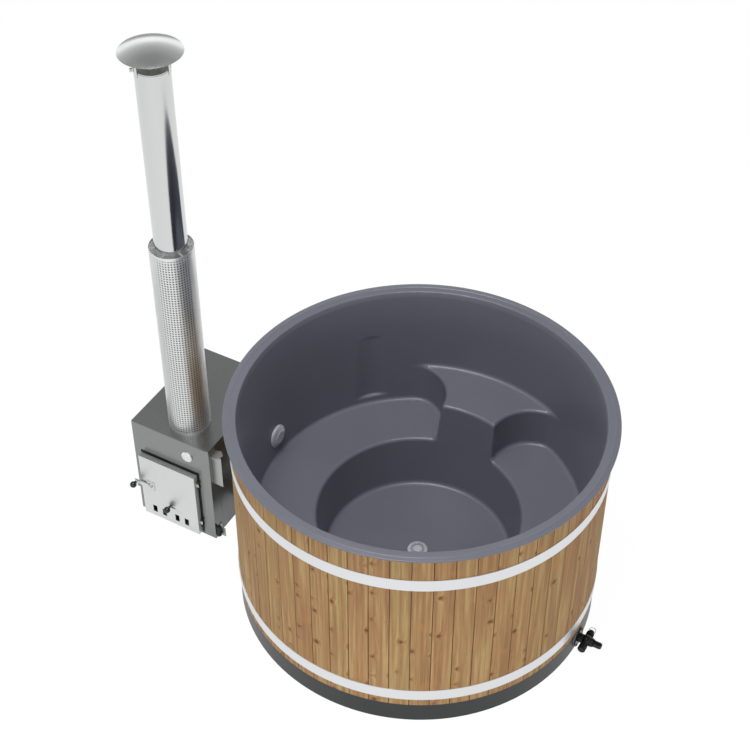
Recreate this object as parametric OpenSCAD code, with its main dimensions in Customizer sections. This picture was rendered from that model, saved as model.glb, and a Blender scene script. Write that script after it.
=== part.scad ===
// Round wooden hot tub with a moulded liner and an outside wood-fired heater.
// Millimetres, +Z up. Origin: tub axis on the ground. The heater stands at -X with its
// door facing -Y, the drain valve is at +X, and the raised seat is at +Y.

/* [Tub shell] */
// Height of the rim above the ground
tub_h = 1000; // [900:1:1150]
// Outer radius of the stave wall
stave_r = 770; // [700:1:900]
// Thickness of a stave
stave_t = 28; // [22:1:36]
// Number of staves
stave_n = 59; // [40:1:72]
// Gap at the joint between two staves
stave_gap = 1.2; // [0.6:0.1:3]
// Bearing of one stave joint, degrees from +X
stave_az = -94.8; // [-180:0.1:180]
// Height of the grey plinth ring
plinth_h = 101; // [96:1:160]
// Sheet thickness of the plinth ring
plinth_t = 6; // [4:0.5:10]
// How far the plinth face lies behind the stave face
plinth_in = 1; // [0:0.5:6]
// Width of the inward flanges of the plinth ring
plinth_lip = 34; // [31:1:50]
// Thickness of the base board
base_t = 15; // [10:1:20]

/* [Bands] */
// Height of a band
band_h = 58; // [30:1:80]
// Thickness of a band
band_t = 3; // [1.5:0.5:5]
// From the rim down to the lower edge of the upper band
band_drop = 188; // [160:1:350]
// Lower edge of the lower band above the ground
band_lo = 140; // [125:1:250]
// Bearing of the band joint, degrees from +X
band_az = 117; // [100:1:150]
// Gap between the two ends of a band
band_split = 26; // [14:1:40]
// Reach of a band lug
lug_out = 26; // [20:1:36]
// Thickness of a band lug
lug_t = 5; // [4:0.5:8]
// Radius of a band bolt
bolt_r = 5; // [3:0.5:6]

/* [Liner] */
// Wall thickness of the liner
liner_t = 6; // [4:0.5:8]
// Draft of the inner wall, degrees
wall_draft = 4; // [2:0.5:5]
// How far the rim reaches over the staves
rim_over = 22; // [12:1:34]
// Radius of the rolled inner edge of the rim
rim_roll = 10; // [6:1:14]
// Width of the flat top of the rim
rim_flat = 18; // [10:1:24]
// Fall of the sloping outer part of the rim
rim_drop = 3.5; // [1:0.5:3.5]
// Height of the footwell floor
floor_z = 160; // [145:1:185]
// Radius of the footwell floor
well_r = 401; // [340:1:430]
// Draft of the footwell wall, degrees
well_draft = 7.3; // [3:0.1:9]
// Height of the bench
bench_z = 408; // [380:1:430]
// Height of the raised seat
seat_z = 598; // [540:1:640]
// Bearing of the raised seat, degrees from +X
seat_az = 90; // [85:1:95]
// Angle from the seat middle to the middle of each side scoop
scoop_az = 35.7; // [32:0.1:39]
// Distance of the scoop axes from the tub axis
scoop_d = 540; // [525:1:555]
// Radius of a scoop at bench height
scoop_r = 178; // [170:1:190]
// Draft of the scoops, degrees
scoop_draft = 2.4; // [1:0.1:4]
// Bearing of the wall niche, degrees from +X
niche_az = 136; // [132:1:140]
// Height of the niche floor
niche_z = 450; // [430:1:470]
// Height of the niche
niche_h = 330; // [250:1:380]
// Width of the niche
niche_w = 120; // [90:1:140]
// Depth of the niche at its floor
niche_d = 14; // [10:1:18]
// Lean of the niche against the wall draft, degrees
niche_lean = 2.1; // [1:0.1:2.5]

/* [Supports] */
// Side of a bench post
post_w = 45; // [35:1:60]
// Distance of the bench posts from the tub axis
post_d = 590; // [560:1:620]
// Width of a floor joist
joist_w = 45; // [35:1:60]
// Spacing of the outer joists
joist_gap = 150; // [130:1:170]

/* [Water line] */
// Outer radius of the water pipes
pipe_r = 20; // [16:0.5:22]
// Wall of the water pipes
pipe_t = 2.5; // [1.5:0.5:3.5]
// Height of the drain line
drain_z = 48; // [47:1:56]
// Height of the hot water inlet in the tub wall
inlet_z = 513; // [505:1:516]
// Radius of the inlet cover
inlet_r = 52; // [46:1:58]
// How far the inlet cover stands out of the wall
inlet_out = 20; // [15:1:26]
// Radius of the floor outlet ring
outlet_r = 52; // [50:1:60]
// Radius of the floor outlet cover
outlet_cover_r = 43; // [40:1:47]
// Wall of the rubber sleeves between tub and heater
sleeve_t = 5; // [3:0.5:8]
// Width of a hose clamp
clamp_w = 12; // [9:1:14]

/* [Drain valve] */
// Bearing of the drain valve, degrees from +X
valve_az = -0.4; // [-3:0.1:3]
// Radius of the valve flange
valve_flange_r = 44; // [40:1:45]
// Distance from the plinth to the valve's cross axis
valve_reach = 42; // [40:1:50]
// Radius of the valve knob
knob_r = 17; // [14:1:20]
// Length of the valve knob
knob_l = 28; // [20:1:34]
// Radius of the valve cap
cap_r = 17; // [15:1:20]
// Length of the valve cap
cap_l = 15; // [11:1:22]
// Radius of the boss that holds the wire bail
bail_boss_r = 12; // [10:0.5:14]
// Length of the bail's straight legs
bail_leg = 12; // [9:1:18]
// Radius of the valve ball
plug_r = 18; // [16:0.5:19]
// Bore of the valve
valve_bore = 12; // [9:0.5:12]
// Outer radius of the hose tail
tail_r = 14; // [13:0.5:16]
// Length of the hose tail
tail_l = 42; // [34:1:60]

/* [Heater casing] */
// Gap between the stave wall and the casing
stove_gap = 112; // [104:1:140]
// Width of the casing
casing_w = 402; // [398:1:460]
// Depth of the casing
casing_d = 551; // [500:1:650]
// Height of the casing
casing_h = 550; // [550:1:650]
// Casing front ahead of the water ports
port_y = 262; // [220:1:300]
// Sheet thickness of the casing
sheet_t = 3; // [2:0.5:4]
// Depth of the front panel's side returns
return_d = 60; // [56:1:90]
// Ground clearance of the side panels
side_clear = 10; // [4:1:20]

/* [Heater body] */
// Gap between the casing and the water jacket
jacket_gap = 17; // [12:1:19]
// Plate thickness of the water jacket
jacket_t = 4; // [3:0.5:5]
// Width of the water space
water_w = 30; // [24:1:32]
// Height of the feet
foot_h = 12; // [8:1:16]
// Radius of a foot
foot_r = 15; // [10:1:20]
// Height of the grate top above the firebox floor
grate_h = 94; // [80:1:110]
// Thickness of the grate
grate_t = 12; // [8:1:16]
// Depth of the grate from front to back
grate_l = 300; // [240:5:360]
// Height of the ash pan
pan_h = 40; // [30:1:50]

/* [Door] */
// Left edge of the door from the casing's left face
door_x = 39; // [38:1:50]
// Lower edge of the door above the ground
door_z = 19; // [14:1:24]
// Width of the door
door_w = 294; // [270:1:296]
// Height of the door
door_h = 359; // [330:1:368]
// Front face of the door ahead of the casing front
door_out = 30; // [28:1:36]
// Depth of the door tray
door_d = 26; // [24:0.5:27]
// Sheet thickness of the door
door_t = 3; // [2:0.5:3.5]
// Margin of the firebox mouth inside the door
mouth_in = 23; // [22:1:34]
// Radius of a hinge pin
pin_r = 2; // [1.5:0.1:2.4]
// Distance of the hinges from the door's ends
hinge_in = 60; // [45:1:90]
// Width of a vent
vent_w = 22; // [16:1:23]
// Height of a vent
vent_h = 40; // [28:1:46]
// Vent middle above the door's lower edge
vent_z = 47; // [44:1:50]
// How far the vents' middle lies left of the door's middle
vent_off = 3; // [0:0.5:5]
// Distance between the two vents of a pair
vent_pitch = 51; // [49:1:56]
// Distance between the two inner vents
vent_mid = 69; // [60:1:76]
// Travel of the draught slide
slide_go = 25; // [24:0.5:25]
// Knob height above the vents' middle
slide_knob = 57; // [52:1:62]
// Radius of the two ball knobs
ball_r = 15; // [12:1:17]

/* [Latch] */
// Latch pivot from the door's left edge
latch_x = 49; // [44:1:60]
// Latch pivot above the door's lower edge
latch_z = 191; // [160:1:230]
// Height of the latch bar
latch_h = 22; // [18:1:28]
// Reach of the latch bar to the left of its pivot
latch_l = 82; // [76:1:84]
// Drop of the latch bar into its keeper, degrees
latch_drop = 7; // [5:0.5:8]

/* [Casing fittings] */
// Radius of the front plug
front_plug_r = 26; // [20:1:30]
// Front plug from the casing's left face
front_plug_x = 288; // [260:1:320]
// Front plug below the casing top
front_plug_z = 81; // [70:1:90]
// Reach of the upper side bracket
bracket_out = 48; // [40:1:56]
// Lower edge of the upper side bracket
bracket_z = 340; // [300:1:360]
// Height of the upper side bracket
bracket_h = 172; // [150:1:180]
// Reach of the lower side bracket
bracket_low_out = 38; // [30:1:46]
// Side brackets behind the casing front
bracket_y = 24; // [23:1:30]
// Radius of the side bumper
bumper_r = 11; // [9:0.5:11]

/* [Chimney] */
// Chimney axis from the casing's left face
flue_x = 224; // [200:1:240]
// Chimney axis behind the casing front
flue_y = 126; // [120:1:200]
// Outer radius of the upper flue
flue_r = 68; // [60:0.5:70]
// Wall of the flue pipes
flue_t = 1.5; // [1:0.1:2]
// Height of the flue top
flue_top = 2330; // [1900:1:2500]
// Lower edge of the upper flue
flue_joint = 1528; // [1480:1:1600]
// Overlap of the two flue pipes
flue_lap = 70; // [50:1:100]
// Radius of the heat shield
shield_r = 91; // [88:0.5:100]
// Wall of the heat shield
shield_t = 1.5; // [1:0.1:2]
// Height of the heat shield top
shield_top = 1515; // [1300:1:1520]
// Radius of the rain cap
rain_r = 122; // [100:1:140]
// Height of the rain cap's edge above the flue top
rain_gap = 62; // [45:1:90]
// Rise of the rain cap's dome
rain_rise = 26; // [18:1:36]
// Width of a cap leg
leg_w = 15; // [10:1:20]
// Bearing of the first cap leg, degrees from +X
leg_az = 10.3; // [-20:0.1:30]

/* [Hidden] */

$fn = 96;

// Clearances
seat_c = 0.3;     // a seated piece and its seat
pin_c = 0.05;     // a turning pin in its bore
slide_c = 0.3;    // a sliding piece and its guide
hole_c = 1;       // a pipe in a passage
over = 1;         // how far a cutter runs past a face

// Liner
wall_top_r = stave_r - stave_t - hole_c - liner_t;
rim_r = stave_r + rim_over;
lip_t = liner_t + 1;
stave_top = tub_h - lip_t - seat_c;
function wall_rad(z) = wall_top_r - (tub_h - z) * tan(wall_draft);
function well_rad(z) = well_r + (z - floor_z) * tan(well_draft);
function scoop_rad(z) = scoop_r + (z - bench_z) * tan(scoop_draft);
niche_r = (niche_w * niche_w / 4 + niche_d * niche_d) / (2 * niche_d);

// Bands
band_hi = tub_h - band_drop;

// Plinth and supports
plinth_r = stave_r - plinth_in;
board_r = plinth_r - plinth_lip - seat_c;
joist_top = floor_z - liner_t - seat_c;
post_top = bench_z - liner_t - seat_c;

// Water line
tee_r = pipe_r + 6;
tee_l = 62;
stem_r = pipe_r + 10;
hot_x = wall_rad(inlet_z);
stem_out = 26;
nut_h = 10;
sleeve_x1 = -(stave_r + stem_out + 2);
sleeve_x0 = -(stave_r + stove_gap - 6);
sleeve_mid = (sleeve_x0 + sleeve_x1) / 2;
tail_end = sleeve_mid + 10;
port_end = sleeve_mid - 10;

// Drain valve, measured outward from the plinth face
gasket_t = 3;
flange_t = 6;
body_r = plug_r + 7;
stem_rod = 5;
knob_y = -(body_r + 6);
cap_y = body_r + 4;
bail_r = 1.2;
bail_y = cap_y + cap_l + 4;
bail_w = bail_boss_r + 2.5;

// Heater
stove_r = -(stave_r + stove_gap);
stove_l = stove_r - casing_w;
jack_x0 = sheet_t + jacket_gap;
jack_x1 = casing_w - sheet_t - jacket_gap;
jack_y0 = 12;
jack_y1 = casing_d - sheet_t - jacket_gap;
jack_z1 = casing_h - sheet_t - 6;
fire_in = 2 * jacket_t + water_w;
front_plate = 6;
fire_z = foot_h + front_plate;
pan_t = 2;        // sheet of the ash pan
spigot_h = 40;    // reach of the flue spigot into the lower flue

// Door
cut_x0 = door_x - 5;
cut_x1 = door_x + door_w + 9;
cut_z0 = door_z - 7;
cut_z1 = door_z + door_h + 12;
mouth_x0 = door_x + mouth_in;
mouth_x1 = door_x + door_w - mouth_in;
mouth_z0 = door_z + mouth_in + 10;
mouth_z1 = door_z + door_h - mouth_in - 10;
frame_front = 2;
seal_w = 9;
knuckle_r = pin_r + 1.5;
hinge_x = door_x + door_w + 0.5 + knuckle_r;
hinge_y = -(door_out - door_d + knuckle_r + 0.5);
knuckle_h = 12;
door_knuckle_h = 18;
knuckle_gap = 0.4;
door_mid = door_x + door_w / 2 - vent_off;
vent_x = [-vent_mid / 2 - vent_pitch, -vent_mid / 2, vent_mid / 2, vent_mid / 2 + vent_pitch];
vent_y = door_z + vent_z;
knob_z = vent_y + slide_knob;
slide_w = vent_mid + 2 * vent_pitch + 2 * vent_w + 18;
slide_y = -(door_out - door_t - slide_c);
slide_h0 = vent_y - vent_h / 2 - 10;
slide_h1 = knob_z + 10;
slide_t = 3;
rail_h = 6;
rod_r = 3.5;
latch_px = door_x + latch_x;
latch_pz = door_z + latch_z;
plate_t = 3;
latch_y = -(door_out + plate_t + 1);
latch_t = 4;
ball_neck = 10;
keeper_w = 11;
keeper_x = latch_px - latch_l + ball_neck + rod_r + 1.5;

// Side bumper
bumper_z = 20;
bumper_h = 56;

// Chimney
flue_in_r = flue_r - flue_t - 0.4;
leg_t = 1.5;
clamp_r = flue_r + 0.2 + leg_t;
rain_t = 1.5;
rain_z = flue_top + rain_gap;
rain_R = (rain_r * rain_r + rain_rise * rain_rise) / (2 * rain_rise);
rain_c = rain_z + rain_rise - rain_R;

// ---- helpers ----
module tube(ro, ri, h) {
  difference() {
    cylinder(r = ro, h = h);
    translate([0, 0, -over]) cylinder(r = ri, h = h + 2 * over);
  }
}

// A cylinder along +X from x0 to x1
module rod_x(r, x0, x1) {
  translate([x0, 0, 0]) rotate([0, 90, 0]) cylinder(r = r, h = x1 - x0);
}

// A cylinder along +Y from y0 to y1
module rod_y(r, y0, y1) {
  translate([0, y0, 0]) rotate([-90, 0, 0]) cylinder(r = r, h = y1 - y0);
}

module box(x0, x1, y0, y1, z0, z1) {
  translate([x0, y0, z0]) cube([x1 - x0, y1 - y0, z1 - z0]);
}

// The heater's own frame: left front corner of the casing on the ground
module at_stove() { translate([stove_l, -port_y, 0]) children(); }

module at_flue() { at_stove() translate([flue_x, flue_y, 0]) children(); }

// The valve's own frame: on the plinth face, X outward
module at_valve() { rotate([0, 0, valve_az]) translate([plinth_r, 0, drain_z]) children(); }

// ---- tub ----
module liner_shell() {
  rotate_extrude($fn = 180) polygon([
    [0, floor_z],
    [well_r, floor_z],
    [well_rad(bench_z), bench_z],
    [wall_rad(bench_z), bench_z],
    [wall_rad(tub_h - rim_roll), tub_h - rim_roll],
    [wall_top_r + rim_roll * 0.3, tub_h - rim_roll * 0.3],
    [wall_top_r + rim_roll, tub_h],
    [wall_top_r + rim_roll + rim_flat, tub_h],
    [rim_r - 1, tub_h - rim_drop],
    [rim_r, tub_h - rim_drop - 1],
    [rim_r, tub_h - lip_t + 1],
    [rim_r - 1, tub_h - lip_t],
    [wall_top_r + liner_t, tub_h - lip_t],
    [wall_rad(bench_z) + liner_t, bench_z - liner_t],
    [well_rad(bench_z) + liner_t, bench_z - liner_t],
    [well_r + liner_t, floor_z - liner_t],
    [0, floor_z - liner_t]
  ]);
}

// The raised seat's block between the two scoops, drawn in by g, from z0 to z1
module seat_block(g, out, z0, z1) {
  difference() {
    intersection() {
      rotate_extrude($fn = 180) polygon([
        [well_rad(z0) + g, z0],
        [wall_rad(z0) + out, z0],
        [wall_rad(z1) + out, z1],
        [well_rad(z1) + g, z1]
      ]);
      rotate([0, 0, seat_az]) translate([0, 0, z0 - over])
        linear_extrude(height = z1 - z0 + 2 * over) polygon([
          [0, 0],
          [stave_r * cos(scoop_az), stave_r * sin(scoop_az)],
          [stave_r * 1.3, 0],
          [stave_r * cos(scoop_az), -stave_r * sin(scoop_az)]
        ]);
    }
    for (s = [-1, 1])
      rotate([0, 0, seat_az + s * scoop_az]) translate([scoop_d, 0, z0 - over])
        cylinder(r1 = scoop_rad(z0 - over) + g, r2 = scoop_rad(z1 + over) + g,
          h = z1 - z0 + 2 * over, $fn = 96);
  }
}

module niche_form(g, z0) {
  rotate([0, 0, niche_az])
    translate([wall_rad(niche_z) + niche_d - niche_r, 0, niche_z])
      rotate([0, wall_draft - niche_lean, 0])
        translate([0, 0, z0]) cylinder(r = niche_r + g, h = niche_h - z0 + g, $fn = 96);
}

module liner() {
  color("slategray") difference() {
    union() {
      liner_shell();
      seat_block(0, liner_t / 2, bench_z - liner_t, seat_z);
      difference() {
        niche_form(liner_t, -liner_t);
        rotate_extrude($fn = 180) polygon([
          [0, bench_z], [wall_rad(bench_z) + 1, bench_z],
          [wall_rad(tub_h) + 1, tub_h], [0, tub_h]
        ]);
      }
    }
    seat_block(liner_t, -over, bench_z - liner_t - over, seat_z - liner_t);
    niche_form(0, 0);
    translate([0, 0, floor_z - liner_t - over])
      cylinder(r = stem_r + seat_c, h = liner_t + 2 * over);
    translate([0, 0, inlet_z]) rod_x(stem_r + seat_c, -stave_r, -hot_x + 30);
  }
}

// Joint nearest the hot water inlet, and the two staves that meet there
inlet_joint = stave_az + round((180 - stave_az) * stave_n / 360) * 360 / stave_n;

module inlet_sector() {
  pitch = 360 / stave_n;
  rotate([0, 0, inlet_joint]) translate([0, 0, plinth_h - 2 * over])
    linear_extrude(height = stave_top - plinth_h + 4 * over) polygon([
      [0, 0], [stave_r * 1.1 * cos(pitch), -stave_r * 1.1 * sin(pitch)],
      [stave_r * 1.2, 0], [stave_r * 1.1 * cos(pitch), stave_r * 1.1 * sin(pitch)]
    ]);
}

module stave_ring() {
  difference() {
    translate([0, 0, plinth_h]) tube(stave_r, stave_r - stave_t, stave_top - plinth_h, $fn = 180);
    for (i = [0 : stave_n - 1])
      rotate([0, 0, stave_az + i * 360 / stave_n])
        translate([stave_r - stave_t - over, -stave_gap / 2, plinth_h - over])
          cube([stave_t + 2 * over, stave_gap, stave_top - plinth_h + 2 * over]);
    translate([0, 0, inlet_z]) rod_x(stem_r + hole_c, -stave_r - over, -stave_r + 2 * stave_t);
  }
}

module staves() {
  color("burlywood") difference() {
    stave_ring();
    inlet_sector();
  }
}

// The two staves that the hot water inlet passes through
module inlet_staves() {
  color("burlywood") intersection() {
    stave_ring();
    inlet_sector();
  }
}

module band(z) {
  difference() {
    translate([0, 0, z]) tube(stave_r + 0.2 + band_t, stave_r + 0.2, band_h, $fn = 180);
    rotate([0, 0, band_az]) translate([stave_r - over, -band_split / 2, z - over])
      cube([band_t + 10, band_split, band_h + 2 * over]);
  }
}

module upper_band() { color("whitesmoke") band(band_hi); }

module lower_band() { color("whitesmoke") band(band_lo); }

lug_in = 11;
lug_tab = 24;
lug_h = band_h - 2 * lug_in;
lug_r0 = stave_r + 0.2 + band_t;

module lug_pair(z) {
  for (s = [-1, 1])
    rotate([0, 0, band_az]) difference() {
      union() {
        translate([lug_r0, s > 0 ? band_split / 2 : -band_split / 2 - lug_t, z + lug_in])
          cube([lug_out, lug_t, lug_h]);
        translate([lug_r0, s > 0 ? band_split / 2 : -band_split / 2 - lug_tab, z + lug_in])
          cube([3, lug_tab, lug_h]);
      }
      translate([lug_r0 + lug_out - 9, 0, z + band_h / 2])
        rod_y(bolt_r + 0.3, -band_split / 2 - 30, band_split / 2 + 30);
      translate([0, 0, z]) cylinder(r = lug_r0, h = band_h, $fn = 180);
    }
}

module band_lugs() {
  color("whitesmoke") {
    lug_pair(band_hi);
    lug_pair(band_lo);
  }
}

module band_bolts() {
  grip = band_split / 2 + lug_t;
  color("silver") for (z = [band_hi, band_lo])
    rotate([0, 0, band_az]) translate([lug_r0 + lug_out - 9, 0, z + band_h / 2]) {
      rod_y(bolt_r, -grip - 14, grip);
      rod_y(bolt_r * 1.7, grip, grip + 6, $fn = 6);
      rod_y(bolt_r * 1.7, -grip - 6, -grip, $fn = 6);
    }
}

module plinth() {
  color("dimgray") difference() {
    rotate_extrude($fn = 180) polygon([
      [plinth_r - plinth_lip, 0],
      [plinth_r, 0],
      [plinth_r, plinth_h - seat_c],
      [plinth_r - plinth_lip, plinth_h - seat_c],
      [plinth_r - plinth_lip, plinth_h - seat_c - plinth_t],
      [plinth_r - plinth_t, plinth_h - seat_c - plinth_t],
      [plinth_r - plinth_t, plinth_t],
      [plinth_r - plinth_lip, plinth_t]
    ]);
    rotate([0, 0, valve_az]) translate([0, 0, drain_z])
      rod_x(pipe_r + hole_c, plinth_r - 40, plinth_r + 10);
    translate([0, 0, drain_z]) rod_x(pipe_r + hole_c, -plinth_r - 10, -plinth_r + 40);
  }
}

module base_board() { color("tan") cylinder(r = board_r, h = base_t, $fn = 180); }

module floor_joists() {
  color("tan") for (y = [-2 * joist_gap, -joist_gap, joist_gap, 2 * joist_gap])
    let (l = sqrt(pow(well_r - 12, 2) - pow(abs(y) + joist_w / 2, 2)))
      box(-l, l, y - joist_w / 2, y + joist_w / 2, base_t, joist_top);
}

module bench_posts() {
  color("tan") for (a = [22.5, 157.5, 202.5, 247.5, 292.5, 337.5])
    rotate([0, 0, a]) box(post_d - post_w / 2, post_d + post_w / 2, -post_w / 2, post_w / 2,
      base_t, post_top);
}

// ---- floor outlet and drain line ----
module floor_ring() {
  color("lightsteelblue") translate([0, 0, floor_z]) difference() {
    cylinder(r = outlet_r, h = 3);
    translate([0, 0, -over]) cylinder(r = stem_r + seat_c, h = 5);
  }
}

module floor_grille() {
  color("silver") translate([0, 0, floor_z + 3]) difference() {
    union() {
      cylinder(r = outlet_cover_r, h = 3);
      translate([0, 0, 3]) cylinder(r1 = outlet_cover_r, r2 = outlet_cover_r - 10, h = 4);
    }
    translate([0, 0, -over]) cylinder(r = outlet_cover_r - 12, h = 4.5 + over);
    for (a = [0 : 15 : 345]) rotate([0, 0, a]) box(outlet_cover_r - 24, outlet_cover_r - 11,
      -1.6, 1.6, -over, 8);
  }
}

module floor_outlet() {
  top = floor_z + 3;
  color("dimgray") difference() {
    union() {
      translate([0, 0, drain_z]) cylinder(r = stem_r, h = top - drain_z - seat_c);
      translate([0, 0, floor_z - liner_t - 12]) cylinder(r = stem_r + 12, h = 12 - seat_c);
      translate([0, 0, drain_z]) sphere(r = stem_r);
      translate([0, 0, drain_z]) rod_x(tee_r, -tee_l, 0);
      rotate([0, 0, valve_az]) translate([0, 0, drain_z]) rod_x(tee_r, 0, tee_l);
    }
    translate([0, 0, drain_z]) cylinder(r = stem_r - 5, h = top);
    translate([0, 0, drain_z]) sphere(r = stem_r - 5);
    translate([0, 0, drain_z]) {
      rod_x(pipe_r - pipe_t, -tee_l - over, 0);
      rod_x(pipe_r + 0.1, -tee_l - over, -tee_l + 24);
    }
    rotate([0, 0, valve_az]) translate([0, 0, drain_z]) {
      rod_x(pipe_r - pipe_t, 0, tee_l + over);
      rod_x(pipe_r + 0.1, tee_l - 24, tee_l + over);
    }
  }
}

module pipe_x(x0, x1) {
  difference() {
    rod_x(pipe_r, x0, x1);
    rod_x(pipe_r - pipe_t, x0 - over, x1 + over);
  }
}

module drain_pipe() {
  color("gray") rotate([0, 0, valve_az]) translate([0, 0, drain_z])
    pipe_x(tee_l - 24, plinth_r + gasket_t + 3);
}

module cold_pipe() {
  color("gray") translate([0, 0, drain_z]) pipe_x(tail_end, -tee_l + 24);
}

// ---- hot water inlet through the tub wall ----
// Everything inside the liner's inner wall, less a clearance
module inside_wall(c) {
  rotate_extrude($fn = 180) polygon([
    [0, bench_z], [wall_rad(bench_z) - c, bench_z],
    [wall_rad(tub_h) - c, tub_h], [0, tub_h]
  ]);
}

module wall_fitting() {
  color("dimgray") difference() {
    union() {
      intersection() {
        translate([0, 0, inlet_z]) rod_x(inlet_r - 6, -hot_x - 20, -hot_x + 8);
        inside_wall(seat_c);
      }
      translate([0, 0, inlet_z]) rod_x(stem_r, -stave_r - stem_out, -hot_x + 8);
      translate([0, 0, inlet_z]) rod_x(pipe_r, tail_end, -stave_r);
    }
    translate([0, 0, inlet_z]) rod_x(pipe_r - pipe_t, tail_end - over, -hot_x + 20);
  }
}

module wall_grille() {
  face = -hot_x + 8;
  rim = 0.55 * inlet_r;
  color("silver") difference() {
    union() {
      intersection() {
        translate([0, 0, inlet_z]) rod_x(inlet_r, -hot_x - 20, face);
        inside_wall(seat_c);
      }
      translate([face, 0, inlet_z]) rotate([0, 90, 0])
        cylinder(r1 = inlet_r, r2 = rim, h = inlet_out - 8);
    }
    translate([0, 0, inlet_z]) rod_x(inlet_r - 6 + seat_c, -hot_x - 40, face + seat_c);
    translate([face - over, 0, inlet_z]) rotate([0, 90, 0])
      cylinder(r1 = inlet_r - 5, r2 = rim - 5, h = inlet_out - 11 + over);
    for (a = [0 : 15 : 345]) translate([face + 2, 0, inlet_z]) rotate([a, 0, 0])
      box(0, 30, -1.7, 1.7, rim + 2, inlet_r - 3);
  }
}

module wall_nut() {
  wash = stem_out - nut_h - 4;
  color("dimgray") difference() {
    translate([0, 0, inlet_z]) union() {
      rod_x(stem_r + 12, -stave_r - wash, -stave_r + 20);
      rod_x(stem_r + 10, -stave_r - wash - nut_h, -stave_r - wash, $fn = 8);
    }
    translate([0, 0, inlet_z - tee_l]) cylinder(r = stave_r + seat_c, h = 2 * tee_l, $fn = 720);
    translate([0, 0, inlet_z]) rod_x(stem_r + 0.1, -stave_r - stem_out - over, -stave_r + 2 * stave_t);
  }
}

module sleeve(z) {
  translate([0, 0, z]) difference() {
    rod_x(pipe_r + 0.1 + sleeve_t, sleeve_x0, sleeve_x1);
    rod_x(pipe_r + 0.1, sleeve_x0 - over, sleeve_x1 + over);
  }
}

module cold_sleeve() { color("black") sleeve(drain_z); }

module hot_sleeve() { color("black") sleeve(inlet_z); }

module hose_clamps() {
  r = pipe_r + 0.1 + sleeve_t + 0.1;
  color("silver") for (z = [drain_z, inlet_z], x = [sleeve_x0 + clamp_w, sleeve_x1 - clamp_w])
    translate([x, 0, z]) {
      difference() {
        rod_x(r + 1.2, -clamp_w / 2, clamp_w / 2);
        rod_x(r, -clamp_w / 2 - over, clamp_w / 2 + over);
      }
      difference() {
        box(-clamp_w / 2 + 1, clamp_w / 2 - 1, -9, 9, r + 0.5, r + 9);
        rod_x(r + 0.5, -clamp_w, clamp_w);
      }
    }
}

// ---- drain valve ----
module valve_gasket() {
  color("gray") difference() {
    at_valve() rod_x(valve_flange_r + 1.5, -8, gasket_t);
    cylinder(r = plinth_r, h = plinth_h * 2, $fn = 720);
    at_valve() rod_x(pipe_r + hole_c, -20, gasket_t + over);
  }
}

module valve_body() {
  x0 = gasket_t;
  x1 = gasket_t + flange_t;
  color("black") at_valve() difference() {
    union() {
      rod_x(valve_flange_r, x0, x1 - 2);
      translate([x1 - 2, 0, 0]) rotate([0, 90, 0])
        cylinder(r1 = valve_flange_r, r2 = valve_flange_r - 4, h = 2);
      rod_x(tail_r + 6, x1 - over, valve_reach + body_r);
      translate([valve_reach, 0, 0]) sphere(r = body_r);
      translate([valve_reach, 0, 0]) rod_y(knob_r - 4, knob_y + 2, 0);
      translate([valve_reach, 0, 0]) rod_y(cap_r - 4, 0, cap_y);
      for (a = [45 : 90 : 315]) rotate([a, 0, 0]) translate([0, 0, valve_flange_r - 9])
        rod_x(4, x1 - over, x1 + 3);
    }
    rod_x(valve_bore, gasket_t + 4, valve_reach + body_r + 20);
    rod_x(pipe_r + 0.1, -20, gasket_t + 4);
    translate([valve_reach, 0, 0]) sphere(r = plug_r + 0.3);
    translate([valve_reach, 0, 0]) rod_y(stem_rod + pin_c, knob_y - 20, 0);
  }
}

// The ball with its stem; at rest the bore stands upright, which shuts the valve
module valve_plug() {
  color("silver") at_valve() translate([valve_reach, 0, 0]) difference() {
    union() {
      sphere(r = plug_r);
      rod_y(stem_rod, knob_y - knob_l + 4, 0);
    }
    translate([0, 0, -plug_r - over]) cylinder(r = valve_bore, h = 2 * plug_r + 2 * over);
  }
}

module valve_knob() {
  color("black") at_valve() translate([valve_reach, 0, 0]) difference() {
    union() {
      rod_y(knob_r, knob_y - knob_l + 3, knob_y);
      translate([0, knob_y - knob_l + 3, 0]) rotate([90, 0, 0])
        cylinder(r1 = knob_r, r2 = knob_r - 3, h = 3);
    }
    rod_y(stem_rod, knob_y - knob_l + 4, knob_y + over);
    for (a = [0 : 30 : 330]) rotate([0, a, 0]) translate([0, 0, knob_r + 1.2])
      rod_y(2.6, knob_y - knob_l - over, knob_y - 4);
  }
}

module valve_cap() {
  color("black") at_valve() translate([valve_reach, 0, 0]) difference() {
    union() {
      rod_y(cap_r, cap_y, cap_y + cap_l - 3);
      translate([0, cap_y + cap_l - 3, 0]) rotate([-90, 0, 0])
        cylinder(r1 = cap_r, r2 = cap_r - 3, h = 3);
      rod_y(bail_boss_r, cap_y, bail_y + 5);
    }
    for (s = [-1, 1]) translate([0, bail_y, 0])
      rod_x(bail_r + pin_c, s > 0 ? bail_boss_r - 5 : -bail_w, s > 0 ? bail_w : -bail_boss_r + 5);
    for (a = [0 : 20 : 340]) rotate([0, a, 0]) translate([0, 0, cap_r + 1])
      rod_y(1.8, cap_y - over, cap_y + cap_l - 5);
  }
}

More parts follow.
